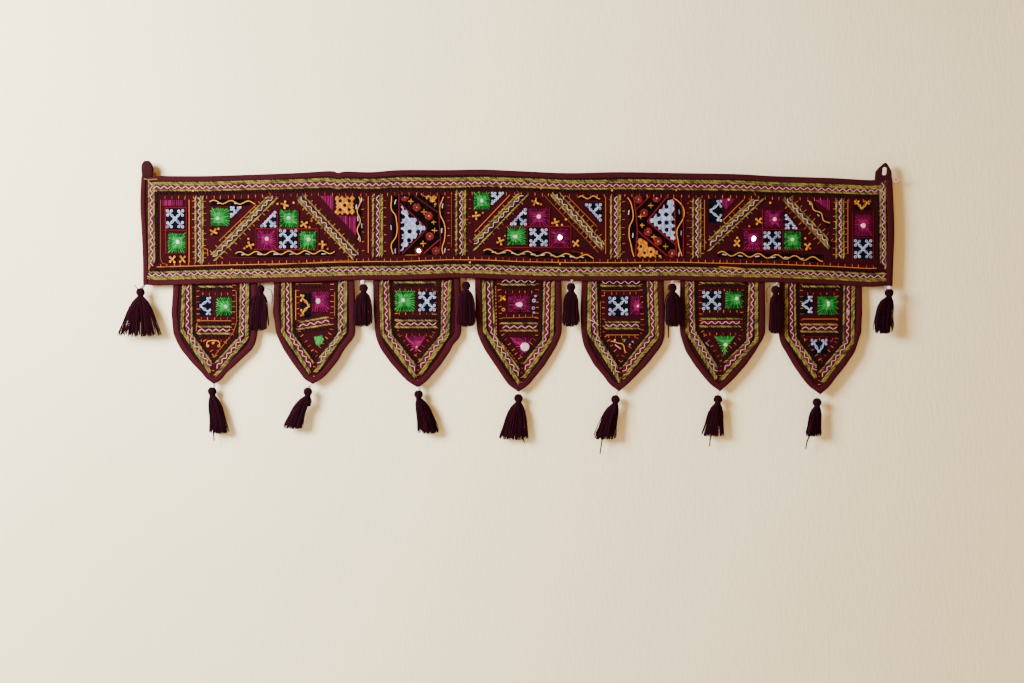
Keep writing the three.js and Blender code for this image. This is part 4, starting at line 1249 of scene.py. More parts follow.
for path, amp, period in (
        (((210, 202), (255.7, 203)), 1.7, 17), (((236, 253.7), (335, 252)), 1.7, 16.4),
        (((359, 197), (359, 242)), 1.6, 19), (((483.4, 251), (593.5, 257)), 2.0, 19.5),
        (((717.5, 253.3), (822.5, 259.4)), 2.0, 18), (((807, 201), (828.6, 224)), 1.6, 15),
        (((578.5, 197.5), (600, 197.5)), 1.5, 12),
        (((391.7, 196), (391.7, 209.6), (396.5, 218), (396.8, 235.8), (391.4, 244), (393.3, 254.3)), 0.2, 15),
        (((443.7, 196.9), (440.2, 205.8), (440.5, 216), (444.3, 222.4), (445.3, 237), (442.4, 246.6),
          (443, 254.3)), 0.2, 15),
        (((627.4, 197.5), (631.9, 205.8), (632.8, 219.8), (629, 228), (630, 241), (633.8, 256.8)), 0.2, 15),
        (((673.3, 198.2), (682.3, 205.8), (683.5, 217.9), (677.2, 228.8), (677.8, 241.5), (681.6, 256.2)),
         0.2, 15)):
    wavyCord("band", path, amp, period)
dashes("band", [(244 + 16 * i, 254.6 - 0.12 * i) for i in range(6)])
dashes("band", [(494 + 19.5 * i / 2, 252.3 + 0.55 * i) for i in range(10)])
dashes("band", ((724, 254.7), (740, 256), (757, 256.5), (773, 257.5), (786, 257.5), (801, 258.7)))
dashes("band", ((219, 203.5), (236, 203.5)), 0, 4)
dashes("band", ((356.5, 207), (358, 219), (359, 238), (361.6, 200), (362, 225.8), (395.5, 202),
                (391.4, 227.5), (395.5, 251), (442.7, 206), (441.8, 230.7), (445, 250.5), (628.7, 212.5),
                (632.8, 235.5), (679, 212), (681, 233), (678.8, 254.3)), 84, 6.5)
dashes("band", ((809.6, 204), (818, 215.4)), -50, 4)

# the two blocks with a pierced white triangle
for points in (
        ((399.3, 194), (399.3, 254)), ((400.3, 203.3), (427.7, 228.8), (402.2, 254.3)),
        ((414.3, 195.6), (437.9, 212.2)), ((439.2, 194), (439.6, 226), (441, 238), (439.8, 254)),
        ((439.8, 239.6), (423.3, 254.3)),
        ((633.5, 197), (635.7, 209.6), (637.6, 231.3), (635.4, 256.2)), ((649.7, 196.3), (636.4, 209.6)),
        ((637.6, 230.7), (667.6, 256.2)), ((667.6, 196.3), (647.2, 221.1), (676.5, 245.4)),
        ((674, 197), (676.5, 256)), ((681, 198.8), (683.5, 222.4), (683.5, 256.2))):
    redLine("band", *points, radius=1.15)
piercedPlate("band", "whiteFloss", ((401, 204.5), (427.2, 228.1), (401, 253)),
             ((410.5, 216), (402.9, 225.3), (417.8, 223.4), (409.9, 231.6), (402.2, 232.3), (418.5, 232),
              (409.2, 240.3), (403.2, 217), (401.9, 240.9)), turn=90)
piercedPlate("band", "whiteFloss",
             ((648.3, 221.1), (669.6, 198.4), (674.6, 200), (675.4, 241), (672.4, 241.6)),
             ((666.3, 206.8), (658.4, 215), (666, 214.7), (673.3, 214.7), (659.3, 222.7), (666.3, 222.7),
              (673.3, 222.4), (666.6, 230), (673.7, 229.4)), turn=90)
piercedPlate("band", "amberThread", ((420, 195), (437, 195), (437, 207)), ((429, 198.5), (434, 203)), 90, 1.6)
piercedPlate("band", "amberThread",
             ((637, 238.5), (645, 238.5), (649, 246), (656, 248.5), (663, 258), (637, 258)),
             ((640.8, 246.6), (650.8, 252), (644.6, 253), (657, 256)), 90, 1.9)
for mid, eye, half in (((405, 197.5), 1.4, True), ((417, 207.5), 1.5, False), ((429, 216), 1.5, False),
                       ((430, 236.5), 1.5, False), ((419, 251), 2.6, False), ((436, 251), 1.5, False),
                       ((638.5, 199.5), 1.5, False), ((656.5, 198.5), 1.4, True), ((644, 213), 1.5, False),
                       ((648, 232), 1.5, False), ((658, 241.5), 1.5, False), ((672, 253.5), 1.5, False)):
    ringWheel("band", mid, 5.8, eye, half)
for mid, size in (((411.1, 201.7), 7.6), ((424.2, 212.2), 8.6), ((434.7, 230.7), 7.6), ((423.3, 243.8), 8.2),
                  ((433.8, 222.4), 6.4), ((650.7, 205.8), 7.6), ((640.5, 216.7), 7), ((642.1, 225.6), 6.4),
                  ((653.9, 237.1), 7.4), ((665.4, 246.6), 7.6)):
    crossStitch("band", mid, size, turn=chance.uniform(-6, 6))
layStitch("amberThread", "band", chart(405, 255.2), chart(418, 255.2), 1.3, 0.7)
for points, reach in ((((364.5, 196), (364.5, 254)), -3.2), (((386.5, 196), (386.5, 255)), -3.2),
                      (((447.5, 194), (447.5, 254)), 3.2), (((471, 196), (471, 228)), -3.0),
                      (((624.9, 198), (624.9, 256)), -3.2), (((686.7, 200), (686.7, 256)), 3.2)):
    comb("band", chartPath(*points), reach, 10.6)
for place in ((541, 188.5), (193.5, 191), (345, 187), (416, 184.6), (501, 187), (612, 190.5), (676, 190.2),
              (232, 269.5), (470, 262.5), (560, 264), (640, 266)):
    knob("band", "amberThread", chart(*place), 0.8)
orangeLine("band", (203.5, 248), (208, 248), (208.3, 256))
layThread("amberThread", "band", chartPath((719, 267), (730, 267.6), (741, 268.6)), 0.6, 1.9)
print("band motifs laid")

# the flaps: side braids down to the point, bars across, and a block over a smaller piece
flapStitching = [
    {"left": (((184, 281.6), (181.8, 330), (209.8, 371.3)), ((190.5, 281.6), (191.5, 335), (211, 362))),
     "right": (((240.8, 281.6), (239.4, 337), (216.6, 361.9)), ((247.1, 281.6), (246.2, 338), (215.8, 375))),
     "bars": [((198, 230), 326.8, 333.6)], "top": ((199.6, 231), 286.6),
     "lines": [((196, 331), (196, 321.5), (200, 320.6), (231, 320.8)),
               ((236, 291), (236.6, 322), (233, 333), (215, 355))],
     "black": [323.2, 336.4], "tip": (213, 357, 380)},
    {"left": (((283.3, 281.6), (283, 332), (310, 372)), ((290.3, 281.6), (292, 334), (312.8, 361.8))),
     "right": (((339, 281.6), (338.6, 334), (319.7, 358)), ((345, 281.6), (344.6, 331), (316.3, 371))),
     "bars": [], "top": None,
     "lines": [((300.7, 283.6), (321.8, 283.6)), ((295.5, 290), (295.5, 320)), ((334.5, 292), (334.5, 316))],
     "black": [], "tip": (314.5, 362, 378)},
    {"left": (((381, 281.6), (382.4, 333), (415.5, 376.5)), ((388, 281.6), (390.6, 334), (415.5, 365.5))),
     "right": (((442.5, 281.6), (441.4, 335), (419.3, 362)), ((449.5, 281.6), (447, 335), (420.8, 373.4))),
     "bars": [((396, 436), 320.6, 327.2)], "top": ((395.5, 436), 282.4), "lines": [],
     "black": [318, 330.4], "tip": (417.8, 365, 382)},
    {"left": (((484, 281.6), (484.8, 330), (519, 382.7)), ((491.7, 281.6), (495, 336), (519, 369.4))),
     "right": (((544.5, 281.6), (543.2, 340), (524.5, 363.3)), ((553, 281.6), (551.6, 338), (524.5, 376.6))),
     "bars": [((502.7, 536.6), 323.3, 330.6)], "top": ((502, 536), 284.6), "topZigzag": True,
     "lines": [((502, 318), (537, 317)), ((495.6, 286), (496.4, 335)), ((501.5, 342.7), (517.8, 362.7))],
     "black": [320.4], "tip": (521.6, 368, 384)},
    {"left": (((590, 281.6), (589.4, 332), (619.7, 380.3)), ((596, 281.6), (597.8, 336), (617.3, 367))),
     "right": (((647.8, 281.6), (650, 333), (623.3, 367)), ((655.6, 281.6), (657, 337), (623.3, 377.8))),
     "bars": [((606, 639), 322.2, 328.4)], "top": ((602, 640), 285.8), "topZigzag": True,
     "lines": [((602, 290.7), (640, 290.7)), ((606, 334.9), (639, 334.9)), ((600.7, 301), (600.7, 337))],
     "black": [332], "tip": (620.6, 368, 384)},
    {"left": (((687.2, 281.6), (687.6, 331), (716, 377.4)), ((693.5, 281.6), (694.6, 331), (717.2, 367.3))),
     "right": (((750, 281.6), (747.6, 341), (725.5, 362)), ((756.4, 281.6), (756.6, 340), (722, 378.5))),
     "bars": [((701, 740), 318.8, 326.5)], "top": ((701.7, 740.7), 282.8), "lines": [],
     "black": [315.8, 329.4], "tip": (720.4, 366, 382)},
    {"left": (((786.9, 281.6), (787, 336), (815.4, 376.5)), ((795, 281.6), (796, 338), (816, 366))),
     "right": (((844.7, 281.6), (843.6, 344), (820.2, 371.5)),
               ((853.6, 281.6), (852.4, 342), (822.5, 381.5))),
     "bars": [((802, 837), 324.5, 331.6)], "top": ((803.8, 838.6), 286.4),
     "lines": [((803, 319), (838, 319))],
     "black": [334.6], "tip": (819, 372, 386)},
]


def stitchFlap(part, row):
    look = braidLooks
    for side, inner in (("left", 1), ("right", -1)):
        first, second = [chartPath(*points) for points in row[side]]
        inside = second if side == "left" else first
        count = 30
        a, b = resample(first, count=count), resample(second, count=count)
        outside = first if side == "left" else second
        for path in (inside, insetPath(outside, -inner * 1.5), insetPath(outside, inner * 0.9)):
            layCord("goldCord", part, path, look["cordLift"])
        near, far = (0.32, 0.8) if side == "left" else (0.2, 0.68)
        stripBetween("crimsonThread", part, [between(p, q, near) for p, q in zip(a, b)],
                     [between(p, q, far) for p, q in zip(a, b)], 1.4, 0.8, look["stripLift"])
        layZigzag(part, [between(p, q, (near + far) / 2) for p, q in zip(a, b)], look["zigzagLift"])
        layCord("blackCord", part, insetPath(inside, inner * 3.2), 0.7)
        comb(part, insetPath(inside, inner * 6.8), inner * 4.2, 7.8)
        layCord("blackCord", part, insetPath(outside, -inner * 3.7), 0.5)
    for (u0, u1), top, bottom in row["bars"]:
        upper, lower = chartPath((u0, top), (u1, top)), chartPath((u0, bottom), (u1, bottom))
        layBar(part, upper, lower)
    if row["top"]:
        (u0, u1), v = row["top"]
        layCord("goldCord", part, chartPath((u0, v), (u1, v)), look["cordLift"])
        layCord("blackCord", part, chartPath((u0, v + 2.5), (u1, v + 2.5)), 0.6)
        comb(part, chartPath((u0, v + 6), (u1, v + 6)), -3.2, 8.6)
    if row.get("topZigzag"):
        layZigzag(part, chartPath((u0, v - 3.6), (u1, v - 3.4)), look["zigzagLift"])
    for v in row["black"]:
        (u0, u1), _, _ = row["bars"][0]
        layCord("blackCord", part, chartPath((u0, v), (u1, v)), 0.65)
        off = 3.2 if v > 326 else -3.2
        comb(part, chartPath((u0, v + off), (u1, v + off)), -off, 8.6)
    for points in row["lines"]:
        orangeLine(part, *points)
    u, v0, v1 = row["tip"]
    for k in range(4):
        v = v0 + (v1 - v0) * k / 3.4
        layStitch("orangeThread", part, chart(u - 1.3, v), chart(u + 1.3, v + 0.2), 0.95, 0.5)


def layBar(part, upper, lower):
    look = braidLooks
    for path in (upper, lower):
        layCord("goldCord", part, path, look["cordLift"])
    nearLine = [between(a, b, 0.3) for a, b in zip(upper, lower)]
    farLine = [between(a, b, 0.7) for a, b in zip(upper, lower)]
    stripBetween("crimsonThread", part, nearLine, farLine, 1.5, 0.9, look["stripLift"])
    layZigzag(part, [between(a, b, 0.5) for a, b in zip(upper, lower)], look["zigzagLift"])


for i, row in enumerate(flapStitching):
    stitchFlap(f"flap{i + 1}", row)
layBar("flap2", chartPath((300.7, 322.2), (328.6, 317)), chartPath((297.5, 329.4), (329.4, 324.2)))
layCord("blackCord", "flap2", chartPath((298, 332.4), (330, 327.4)), 0.65)
layCord("blackCord", "flap2", chartPath((300, 286.6), (322, 286.6)), 0.65)

for part, finish, box, mirror, across, up in (
        ("flap1", "greenFloss", (215.5, 297, 232, 316), (225.4, 306.5), 2.7, 2.7),
        ("flap2", "magentaFloss", (312, 291, 329.5, 312.5), (318, 301), 2.9, 3.7),
        ("flap3", "greenFloss", (395, 290, 415, 312), (403, 300), 2.7, 3.0),
        ("flap4", "magentaFloss", (508, 295, 530.5, 312.5), (519.6, 304.5), 4.4, 3.2),
        ("flap5", "magentaFloss", (630.5, 295, 641, 315), (638, 306), 1.6, 1.9),
        ("flap6", "greenFloss", (725.5, 291, 743, 309), (737, 298.5), 2.6, 2.6),
        ("flap7", "greenFloss", (818, 296, 838, 315), (828.6, 303.8), 2.0, 4.0)):
    mirrorBlock(part, finish, box, mirror, across, up)
fillShape("redThread", "flap4", boxOutline(508, 292.6, 530.5, 295), 0, 1.3, 1.4, 0.7)
mirrorFan("flap3", "magentaFloss", (404, 335, 427, 353), (416.6, 347), 1.3)
mirrorFan("flap4", "magentaFloss", (510, 337, 533, 356), (524.9, 346.8), 5.9)
mirrorFan("flap6", "greenFloss", (714, 335.5, 735, 356.5), (725.8, 344.6), 2.6)
fillShape("greenFloss", "flap2",
          chartPath((314, 337), (322, 335.4), (324, 339.5), (319.5, 346), (316, 344.5)), 70, 1.3, 1.5, 0.7)
fillShape("greenFloss", "flap5", chartPath((622.4, 339), (626.4, 339), (624.3, 343)), 90, 1.2, 1.3, 0.7)
for part, box, half in (
        ("flap1", (198, 296, 211, 316), "right"), ("flap3", (418, 291, 436, 312), None),
        ("flap5", (608, 296, 629, 316), None), ("flap6", (702, 290.5, 722, 310.5), None),
        ("flap7", (801, 295, 813, 314), "right"), ("flap7", (810.5, 339, 828, 354.5), "top")):
    knotMotif(part, "whiteFloss", box, half=half)
knotMotif("flap2", "amberThread", (300, 293, 310.5, 318), half="left")
wavyCord("flap1", ((206.8, 346), (207, 341.5), (213, 340.4), (219, 341.5), (219.4, 346)), 0, 10)
for part, finish, place, size in (
        ("flap1", "amberThread", (207.6, 346), 1.4), ("flap1", "amberThread", (218.6, 346), 1.4),
        ("flap1", "amberThread", (213, 343), 1.2), ("flap4", "amberThread", (503.5, 309.5), 1.9),
        ("flap4", "whiteFloss", (534, 300.5), 1.9), ("flap4", "whiteFloss", (533.4, 308), 1.7),
        ("flap4", "whiteFloss", (535.6, 296), 1.1), ("flap4", "whiteFloss", (534, 312.6), 1.1)):
    knob(part, finish, chart(*place), size)
sprig("flap4", (503, 298), 3.0, 40)
knob("flap7", "amberThread", chart(848.8, 319), 1.0)
fillShape("whiteFloss", "flap7", boxOutline(846.6, 309.5, 850, 314.5), 90, 1.2, 1.3, 0.8)
wavyCord("flap5", ((611, 341.2), (623, 344.6), (625.3, 352.7)), 0.3, 10)
layStitch("whiteFloss", "flap5", chart(615, 344.6), chart(621.3, 349.2), 1.7, 0.9)
layStitch("whiteFloss", "flap6", chart(705.7, 342.3), chart(709.1, 345.8), 1.5, 0.9)
redLine("flap7", (808, 336.5), (829, 336.5))
for part, place in (("flap5", (615, 340)), ("flap5", (630, 344.6)), ("flap5", (632.8, 341.7))):
    knob(part, "whiteFloss", chart(*place), 0.7)
knob("flap7", "magentaFloss", chart(831.4, 341), 1.0)
layThread("whiteThread", "flap2",
          chartPath((348.2, 328.5), (349.6, 331), (347.6, 334.5), (347.2, 337.5)), 0.6, -1.0)
layThread("vermilionFloss", "flap2", chartPath((348.6, 330), (348.2, 333), (346.9, 336)), 0.6, -1.4)
layThread("whiteThread", "flap5", chartPath((588.6, 319.4), (593, 321), (598.4, 325)), 0.4, 2.6)
print("flap stitching laid")


def stitchShape(tree):  # one stitch, a unit long and plump in the middle
    line = addNode(tree, "GeometryNodeCurvePrimitiveLine", {"Start": (-0.5, 0, 0), "End": (0.5, 0, 0)})
    fine = addNode(tree, "GeometryNodeResampleCurve", {"Curve": line.outputs[0], "Count": 4})
    place = addNode(tree, "GeometryNodeInputPosition").outputs[0]
    parts = addNode(tree, "ShaderNodeSeparateXYZ", {0: place}).outputs["X"]
    # x (2.305 - 5.22 x²) moves the inner points out, and the root of 0.25 - 3.55 x⁴ is the radius
    squared = addNode(tree, "ShaderNodeMath", {0: parts, 1: parts}, operation="MULTIPLY").outputs[0]
    pushed = addNode(tree, "ShaderNodeMath", {0: squared, 1: -5.22, 2: 2.305}, operation="MULTIPLY_ADD")
    moved = addNode(tree, "ShaderNodeMath", {0: parts, 1: pushed.outputs[0]}, operation="MULTIPLY").outputs[0]
    spot = addNode(tree, "ShaderNodeCombineXYZ", {0: moved}).outputs[0]
    shaped = addNode(tree, "GeometryNodeSetPosition", {"Geometry": fine.outputs[0], "Position": spot})
    marked = addNode(tree, "GeometryNodeStoreNamedAttribute", {
        "Geometry": shaped.outputs[0], "Name": "along", "Value": moved}).outputs[0]
    end = addNode(tree, "ShaderNodeMath", {0: squared, 1: squared}, operation="MULTIPLY").outputs[0]
    inside = addNode(tree, "ShaderNodeMath", {0: end, 1: -3.55, 2: 0.25}, operation="MULTIPLY_ADD").outputs[0]
    radius = addNode(tree, "ShaderNodeMath", {0: inside}, operation="SQRT").outputs[0]
    return addNode(tree, "GeometryNodeCurveToMesh", {
        "Curve": marked, "Profile Curve": threadSection(tree, 5), "Scale": radius,
        "Fill Caps": True}).outputs[0]


def placeStitches(tree, points, aim, size):
    turn = addNode(tree, "FunctionNodeAlignRotationToVector", {"Vector": aim}, axis="X", pivot_axis="Y")
    return addNode(tree, "GeometryNodeInstanceOnPoints", {
        "Points": points, "Instance": stitchShape(tree), "Rotation": turn.outputs[0],
        "Scale": size}).outputs[0]


def makeStitchTree():  # a stitch on each point of the base, aimed and sized by the point
    tree, given = newTree("laidStitches", [("Material", "NodeSocketMaterial")])
    aim, size = [addNode(tree, "GeometryNodeInputNamedAttribute", {"Name": name}, data_type="FLOAT_VECTOR")
                 for name in ("aim", "size")]
    stitches = placeStitches(tree, given["Geometry"], aim.outputs[0], size.outputs[0])
    endTree(tree, stitches, given["Material"])
    return tree


def makeCordTree():  # slanted stitches close together along each line, like couched twisted cord
    tree, given = newTree("slantedCord", [
        ("Pitch", "NodeSocketFloat"), ("Lean", "NodeSocketFloat"), ("Length", "NodeSocketFloat"),
        ("Width", "NodeSocketFloat"), ("Depth", "NodeSocketFloat"), ("Seed", "NodeSocketInt"),
        ("Material", "NodeSocketMaterial")])
    curve = addNode(tree, "GeometryNodeMeshToCurve", {"Mesh": given["Geometry"]})
    points = addNode(tree, "GeometryNodeCurveToPoints", {"Curve": curve.outputs[0], "Length": given["Pitch"]},
                     mode="LENGTH")
    tones = addNode(tree, "FunctionNodeRandomValue", {2: 0.0, 3: 1.0, 8: given["Seed"]}, data_type="FLOAT")
    toned = addNode(tree, "GeometryNodeStoreNamedAttribute", {
        "Geometry": points.outputs["Points"], "Name": "shade", "Value": tones.outputs[1]}).outputs[0]
    leant = addNode(tree, "ShaderNodeVectorRotate", {
        "Vector": points.outputs["Tangent"], "Angle": given["Lean"]}, rotation_type="Y_AXIS")
    vary = addNode(tree, "FunctionNodeRandomValue", {2: 0.88, 3: 1.12, 8: given["Seed"]}, data_type="FLOAT")
    length = addNode(tree, "ShaderNodeMath", {0: given["Length"], 1: vary.outputs[1]}, operation="MULTIPLY")
    size = addNode(tree, "ShaderNodeCombineXYZ", {0: length.outputs[0], 1: given["Depth"], 2: given["Width"]})
    stitches = placeStitches(tree, toned, leant.outputs[0], size.outputs[0])
    endTree(tree, stitches, given["Material"])
    return tree


def makeZigzagTree():  # one thread swinging from side to side along each line
    tree, given = newTree("zigzagThread", [
        ("Step", "NodeSocketFloat"), ("Swing", "NodeSocketFloat"), ("Radius", "NodeSocketFloat"),
        ("Material", "NodeSocketMaterial")])
    curve = addNode(tree, "GeometryNodeMeshToCurve", {"Mesh": given["Geometry"]})
    even = addNode(tree, "GeometryNodeResampleCurve", {"Curve": curve.outputs[0], "Length": given["Step"]},
                   mode="LENGTH")
    index = addNode(tree, "GeometryNodeInputIndex").outputs[0]
    parity = addNode(tree, "ShaderNodeMath", {0: index, 1: 2.0}, operation="MODULO").outputs[0]
    side = addNode(tree, "ShaderNodeMath", {0: parity, 1: 2.0, 2: -1.0}, operation="MULTIPLY_ADD").outputs[0]
    reach = addNode(tree, "ShaderNodeMath", {0: side, 1: given["Swing"]}, operation="MULTIPLY").outputs[0]
    tangent = addNode(tree, "GeometryNodeInputTangent").outputs[0]
    across = addNode(tree, "ShaderNodeVectorMath", {0: tangent, 1: (0, 1, 0)}, operation="CROSS_PRODUCT")
    offset = addNode(tree, "ShaderNodeVectorMath", {0: across.outputs[0], "Scale": reach}, operation="SCALE")
    swung = addNode(tree, "GeometryNodeSetPosition", {
        "Geometry": even.outputs[0], "Offset": offset.outputs[0]})
    endTree(tree, tubeAlong(tree, swung.outputs[0], 3, 5, given["Radius"]), given["Material"])
    return tree


def looseThread(finish, points, radius):  # a thread that hangs clear of the cloth, through points in mm
    line = ([(Vector(p) * mm, radius * mm) for p in rounded(points, 2.5)], chance.random())
    threadLines.setdefault((finish, "Loose"), []).append(line)


def nearTassel(index, u, v):  # a point by a tassel, at the middle of its depth
    x, z = chart(u, v)
    return (x, tasselPlace(index, tasselRows[index][1])[0] - 0.4, z)


# what each tassel hangs by, in two legs: pink thread but for these
hangLooks = {0: "tasselYarn", 1: "tasselYarn", 3: "tasselYarn", 12: "greyThread"}
for index, row in enumerate(tasselRows):
    finish, (x, z) = hangLooks.get(index, "pinkThread"), row[1]
    middleY, hang = tasselPlace(index, row[1])
    for side in (-0.6, 0.6):
        bend = ((x + hang[0]) / 2 + side * 1.6, (middleY + hang[1]) / 2, (z + 3 + hang[2]) / 2)
        looseThread(finish, [(x + side, middleY, z + 2), bend, hang], 0.38)

for index, finish, radius, path in (
        (0, "pinkThread", 0.35, ((150, 285.5), (148.6, 290), (147, 299))),
        (0, "tasselYarn", 0.6, ((140, 292), (136, 286), (134.6, 285))),
        (1, "blackCord", 0.5, ((267, 289), (271.5, 290), (273, 296), (272.5, 304))),
        (6, "redThread", 0.45, ((770, 285), (766.4, 290), (766.4, 303))),
        (7, "pinkThread", 0.35, ((884, 286), (884.6, 290), (887, 293))),
        (9, "crimsonThread", 0.5, ((304, 389), (309, 394), (312, 402), (309, 404))),
        (13, "pinkThread", 0.3, ((712, 407), (707, 413), (700.5, 421)))):
    looseThread(finish, [nearTassel(index, u, v) for u, v in path], radius)
curlX, curlZ = chart(896, 180)
curl = [(chart(890, 181.5)[0], -0.6, chart(890, 181.5)[1])]
for k in range(8):
    a = math.pi + k * 0.8
    curl.append((curlX + 3.6 * math.cos(a), -1.2 - 0.2 * k, curlZ + 3.0 * math.sin(a)))
looseThread("pinkThread", curl, 0.9)
for k in range(5):  # a tuft of frayed red at the foot of the left loop
    x, z = chart(153.4 + 0.5 * k, 176)
    frayed = [(x, -1.5, z), (x + 0.8 + 0.3 * k, -2.0, z + 2.4), (x + 2.2 - 0.4 * k, -1.6, z + 4.6)]
    looseThread("redThread", frayed, 0.35)
layThread("goldCord", "band", chartPath((144.5, 179), (149, 180), (158, 179.4)), 0.7, 1.8, 0.5)
for place in ((267, 274.6), (466, 271.4), (572.7, 271.8)):
    knob("band", "vermilionFloss", chart(*place), 0.7)

stitchTree, cordTree, zigzagTree = makeStitchTree(), makeCordTree(), makeZigzagTree()
cordLooks = {  # pitch, length, width and depth in mm, lean in degrees
    "goldCord": {"pitchMm": 2.5, "lean": 30, "lengthMm": 4.5, "widthMm": 1.65, "depthMm": 1.5, "seed": 5},
    "blackCord": {"pitchMm": 4.4, "lean": 50, "lengthMm": 4.6, "widthMm": 2.3, "depthMm": 1.7, "seed": 6},
}
zigzagLooks = {"stepMm": 4.7, "swingMm": 1.65, "radiusMm": 0.36}


def stitchBase(name, rows):
    mesh = bpy.data.meshes.new(name)
    mesh.from_pydata([tuple(row[0]) for row in rows], [], [])
    for key, column in (("aim", 1), ("size", 2)):
        values = [c for row in rows for c in row[column]]
        mesh.attributes.new(key, "FLOAT_VECTOR", "POINT").data.foreach_set("vector", values)
    mesh.attributes.new("shade", "FLOAT", "POINT").data.foreach_set("value", [row[3] for row in rows])
    piece = bpy.data.objects.new(name, mesh)
    bpy.context.scene.collection.objects.link(piece)
    return piece


finishes = {name: threadFinish(name, look) for name, look in threadLooks.items() if name != "tasselYarn"}
finishes["tasselYarn"] = yarnFinish
stitching = []
for (name, where), rows in laid.items():
    piece = stitchBase(f"{name}{where}Stitches", rows)
    stitching.append(grow(piece, stitchTree, {"Material": finishes[name]}))
for (name, where), lines in threadLines.items():
    piece = linesPiece(f"{name}{where}Lines", lines)
    stitching.append(grow(piece, threadTree, {"Sides": 5, "Smoothness": 1, "Material": finishes[name]}))
for (name, where), lines in cordPaths.items():
    look = cordLooks[name]
    stitching.append(grow(linesPiece(f"{name}{where}", lines), cordTree, {
        "Pitch": look["pitchMm"] * mm, "Lean": math.radians(look["lean"]), "Length": look["lengthMm"] * mm,
        "Width": look["widthMm"] * mm, "Depth": look["depthMm"] * mm, "Seed": look["seed"],
        "Material": finishes[name]}))
for where, lines in zigzagPaths.items():
    stitching.append(grow(linesPiece(f"zigzag{where}", lines), zigzagTree, {
        "Step": zigzagLooks["stepMm"] * mm, "Swing": zigzagLooks["swingMm"] * mm,
        "Radius": zigzagLooks["radiusMm"] * mm, "Material": finishes["whiteThread"]}))
print("stitching grown:", sum(len(p.data.polygons) for p in stitching), "faces")


def mirrorFinish():
    # thin silvered glass, hand cut: grey and a little rubbed, so it gives back a soft patch of light
    material, tree = startFinish("mirrorGlass")
    place = addNode(tree, "ShaderNodeTexCoord").outputs["Object"]
    rub = addNode(tree, "ShaderNodeTexNoise", {"Vector": place, "Scale": 900.0, "Detail": 3.0})
    colour = addNode(tree, "ShaderNodeMix", {
        0: rub.outputs["Fac"], 6: linear("#A6A9AE"), 7: linear("#D0D3D8")}, data_type="RGBA")
    rough = addNode(tree, "ShaderNodeMapRange", {0: rub.outputs["Fac"], 3: 0.12, 4: 0.3})
    shader = addNode(tree, "ShaderNodeBsdfPrincipled", {
        "Base Color": colour.outputs[2], "Metallic": 0.6, "Roughness": rough.outputs[0], "Coat Weight": 0.4})
    addNode(tree, "ShaderNodeOutputMaterial", {"Surface": shader.outputs[0]})
    return material


def makeMirrors():
    verts, faceRows = [], []
    mirrorChance = random.Random(71)
    count = 12
    for part, centre, across, up, tilt in mirrorRows:
        start = len(verts)
        middle = onFace(part, centre, 1.35)
        leans = [math.radians(tilt[k] + mirrorChance.uniform(-3, 3)) for k in range(2)]
        wobble = [mirrorChance.uniform(0.94, 1.06) for _ in range(count)]
        for scale, depth in ((1.0, 0.35), (1.0, -0.25), (0.9, -0.42)):
            for k in range(count):
                a = 2 * math.pi * k / count
                dx = across * scale * wobble[k] * math.cos(a)
                dz = up * scale * wobble[k] * math.sin(a)
                dy = depth + dx * math.tan(leans[0]) + dz * math.tan(leans[1])
                verts.append(middle + Vector((dx, dy, dz)) * mm)
        for ring in range(2):
            for k in range(count):
                n = (k + 1) % count
                base = start + ring * count
                faceRows.append((base + k, base + n, base + count + n, base + count + k))
        faceRows.append(tuple(start + k for k in range(count - 1, -1, -1)))
        faceRows.append(tuple(start + 2 * count + k for k in range(count)))
    mesh = meshPiece("mirrors", verts, faceRows, mirrorFinish())
    mesh.data.polygons.foreach_set("use_smooth", [False] * len(mesh.data.polygons))
    return mesh


mirrors = makeMirrors()
print("mirrors made:", len(mirrorRows))

beadRows = [  # tassel, place on the chart, radius and half height in mm, clear or white
    (0, (143, 287), 2.4, 2.2, "clear"), (2, (363, 282.4), 2.9, 2.7, "white"),
    (4, (572, 281), 2.4, 2.0, "clear"), (6, (776, 284), 2.5, 2.2, "clear"),
    (7, (888, 288), 2.7, 2.5, "white"), (8, (213, 386), 2.5, 2.9, "white"),
    (9, (309.4, 387), 1.9, 2.0, "clear"), (10, (418, 389), 3.1, 2.9, "white"),
]


def beadFinish(name, colour, clearness):
    # pressed glass beads, one lot milky and one clear with a grey cast: a small hard glint each
    material, tree = startFinish(name)
    place = addNode(tree, "ShaderNodeTexCoord").outputs["Object"]
    streak = addNode(tree, "ShaderNodeTexNoise", {"Vector": place, "Scale": 700.0, "Detail": 2.0})
    tint = addNode(tree, "ShaderNodeMix", {
        0: streak.outputs["Fac"], 6: linear(colour), 7: linear("#E4E4E8")}, data_type="RGBA")
    shader = addNode(tree, "ShaderNodeBsdfPrincipled", {
        "Base Color": tint.outputs[2], "Roughness": 0.08, "IOR": 1.5, "Transmission Weight": clearness})
    addNode(tree, "ShaderNodeOutputMaterial", {"Surface": shader.outputs[0]})
    return material


def makeBeads(kind, finish):  # squat rings with a hole up the middle
    verts, faceRows = [], []
    around, across = 16, 10
    for index, place, radius, tall, look in beadRows:
        if look != kind:
            continue
        start = len(verts)
        middle = Vector(nearTassel(index, *place)) * mm
        for i in range(around):
            a = 2 * math.pi * i / around
            for j in range(across):
                b = 2 * math.pi * j / across
                out = radius * (0.6 + 0.4 * math.cos(b))
                verts.append(middle + Vector((out * math.cos(a), out * math.sin(a), tall * math.sin(b))) * mm)
                n, m = (i + 1) % around, (j + 1) % across
                faceRows.append((start + i * across + j, start + n * across + j, start + n * across + m,
                                 start + i * across + m))
    return meshPiece(f"{kind}Beads", verts, faceRows, finish)


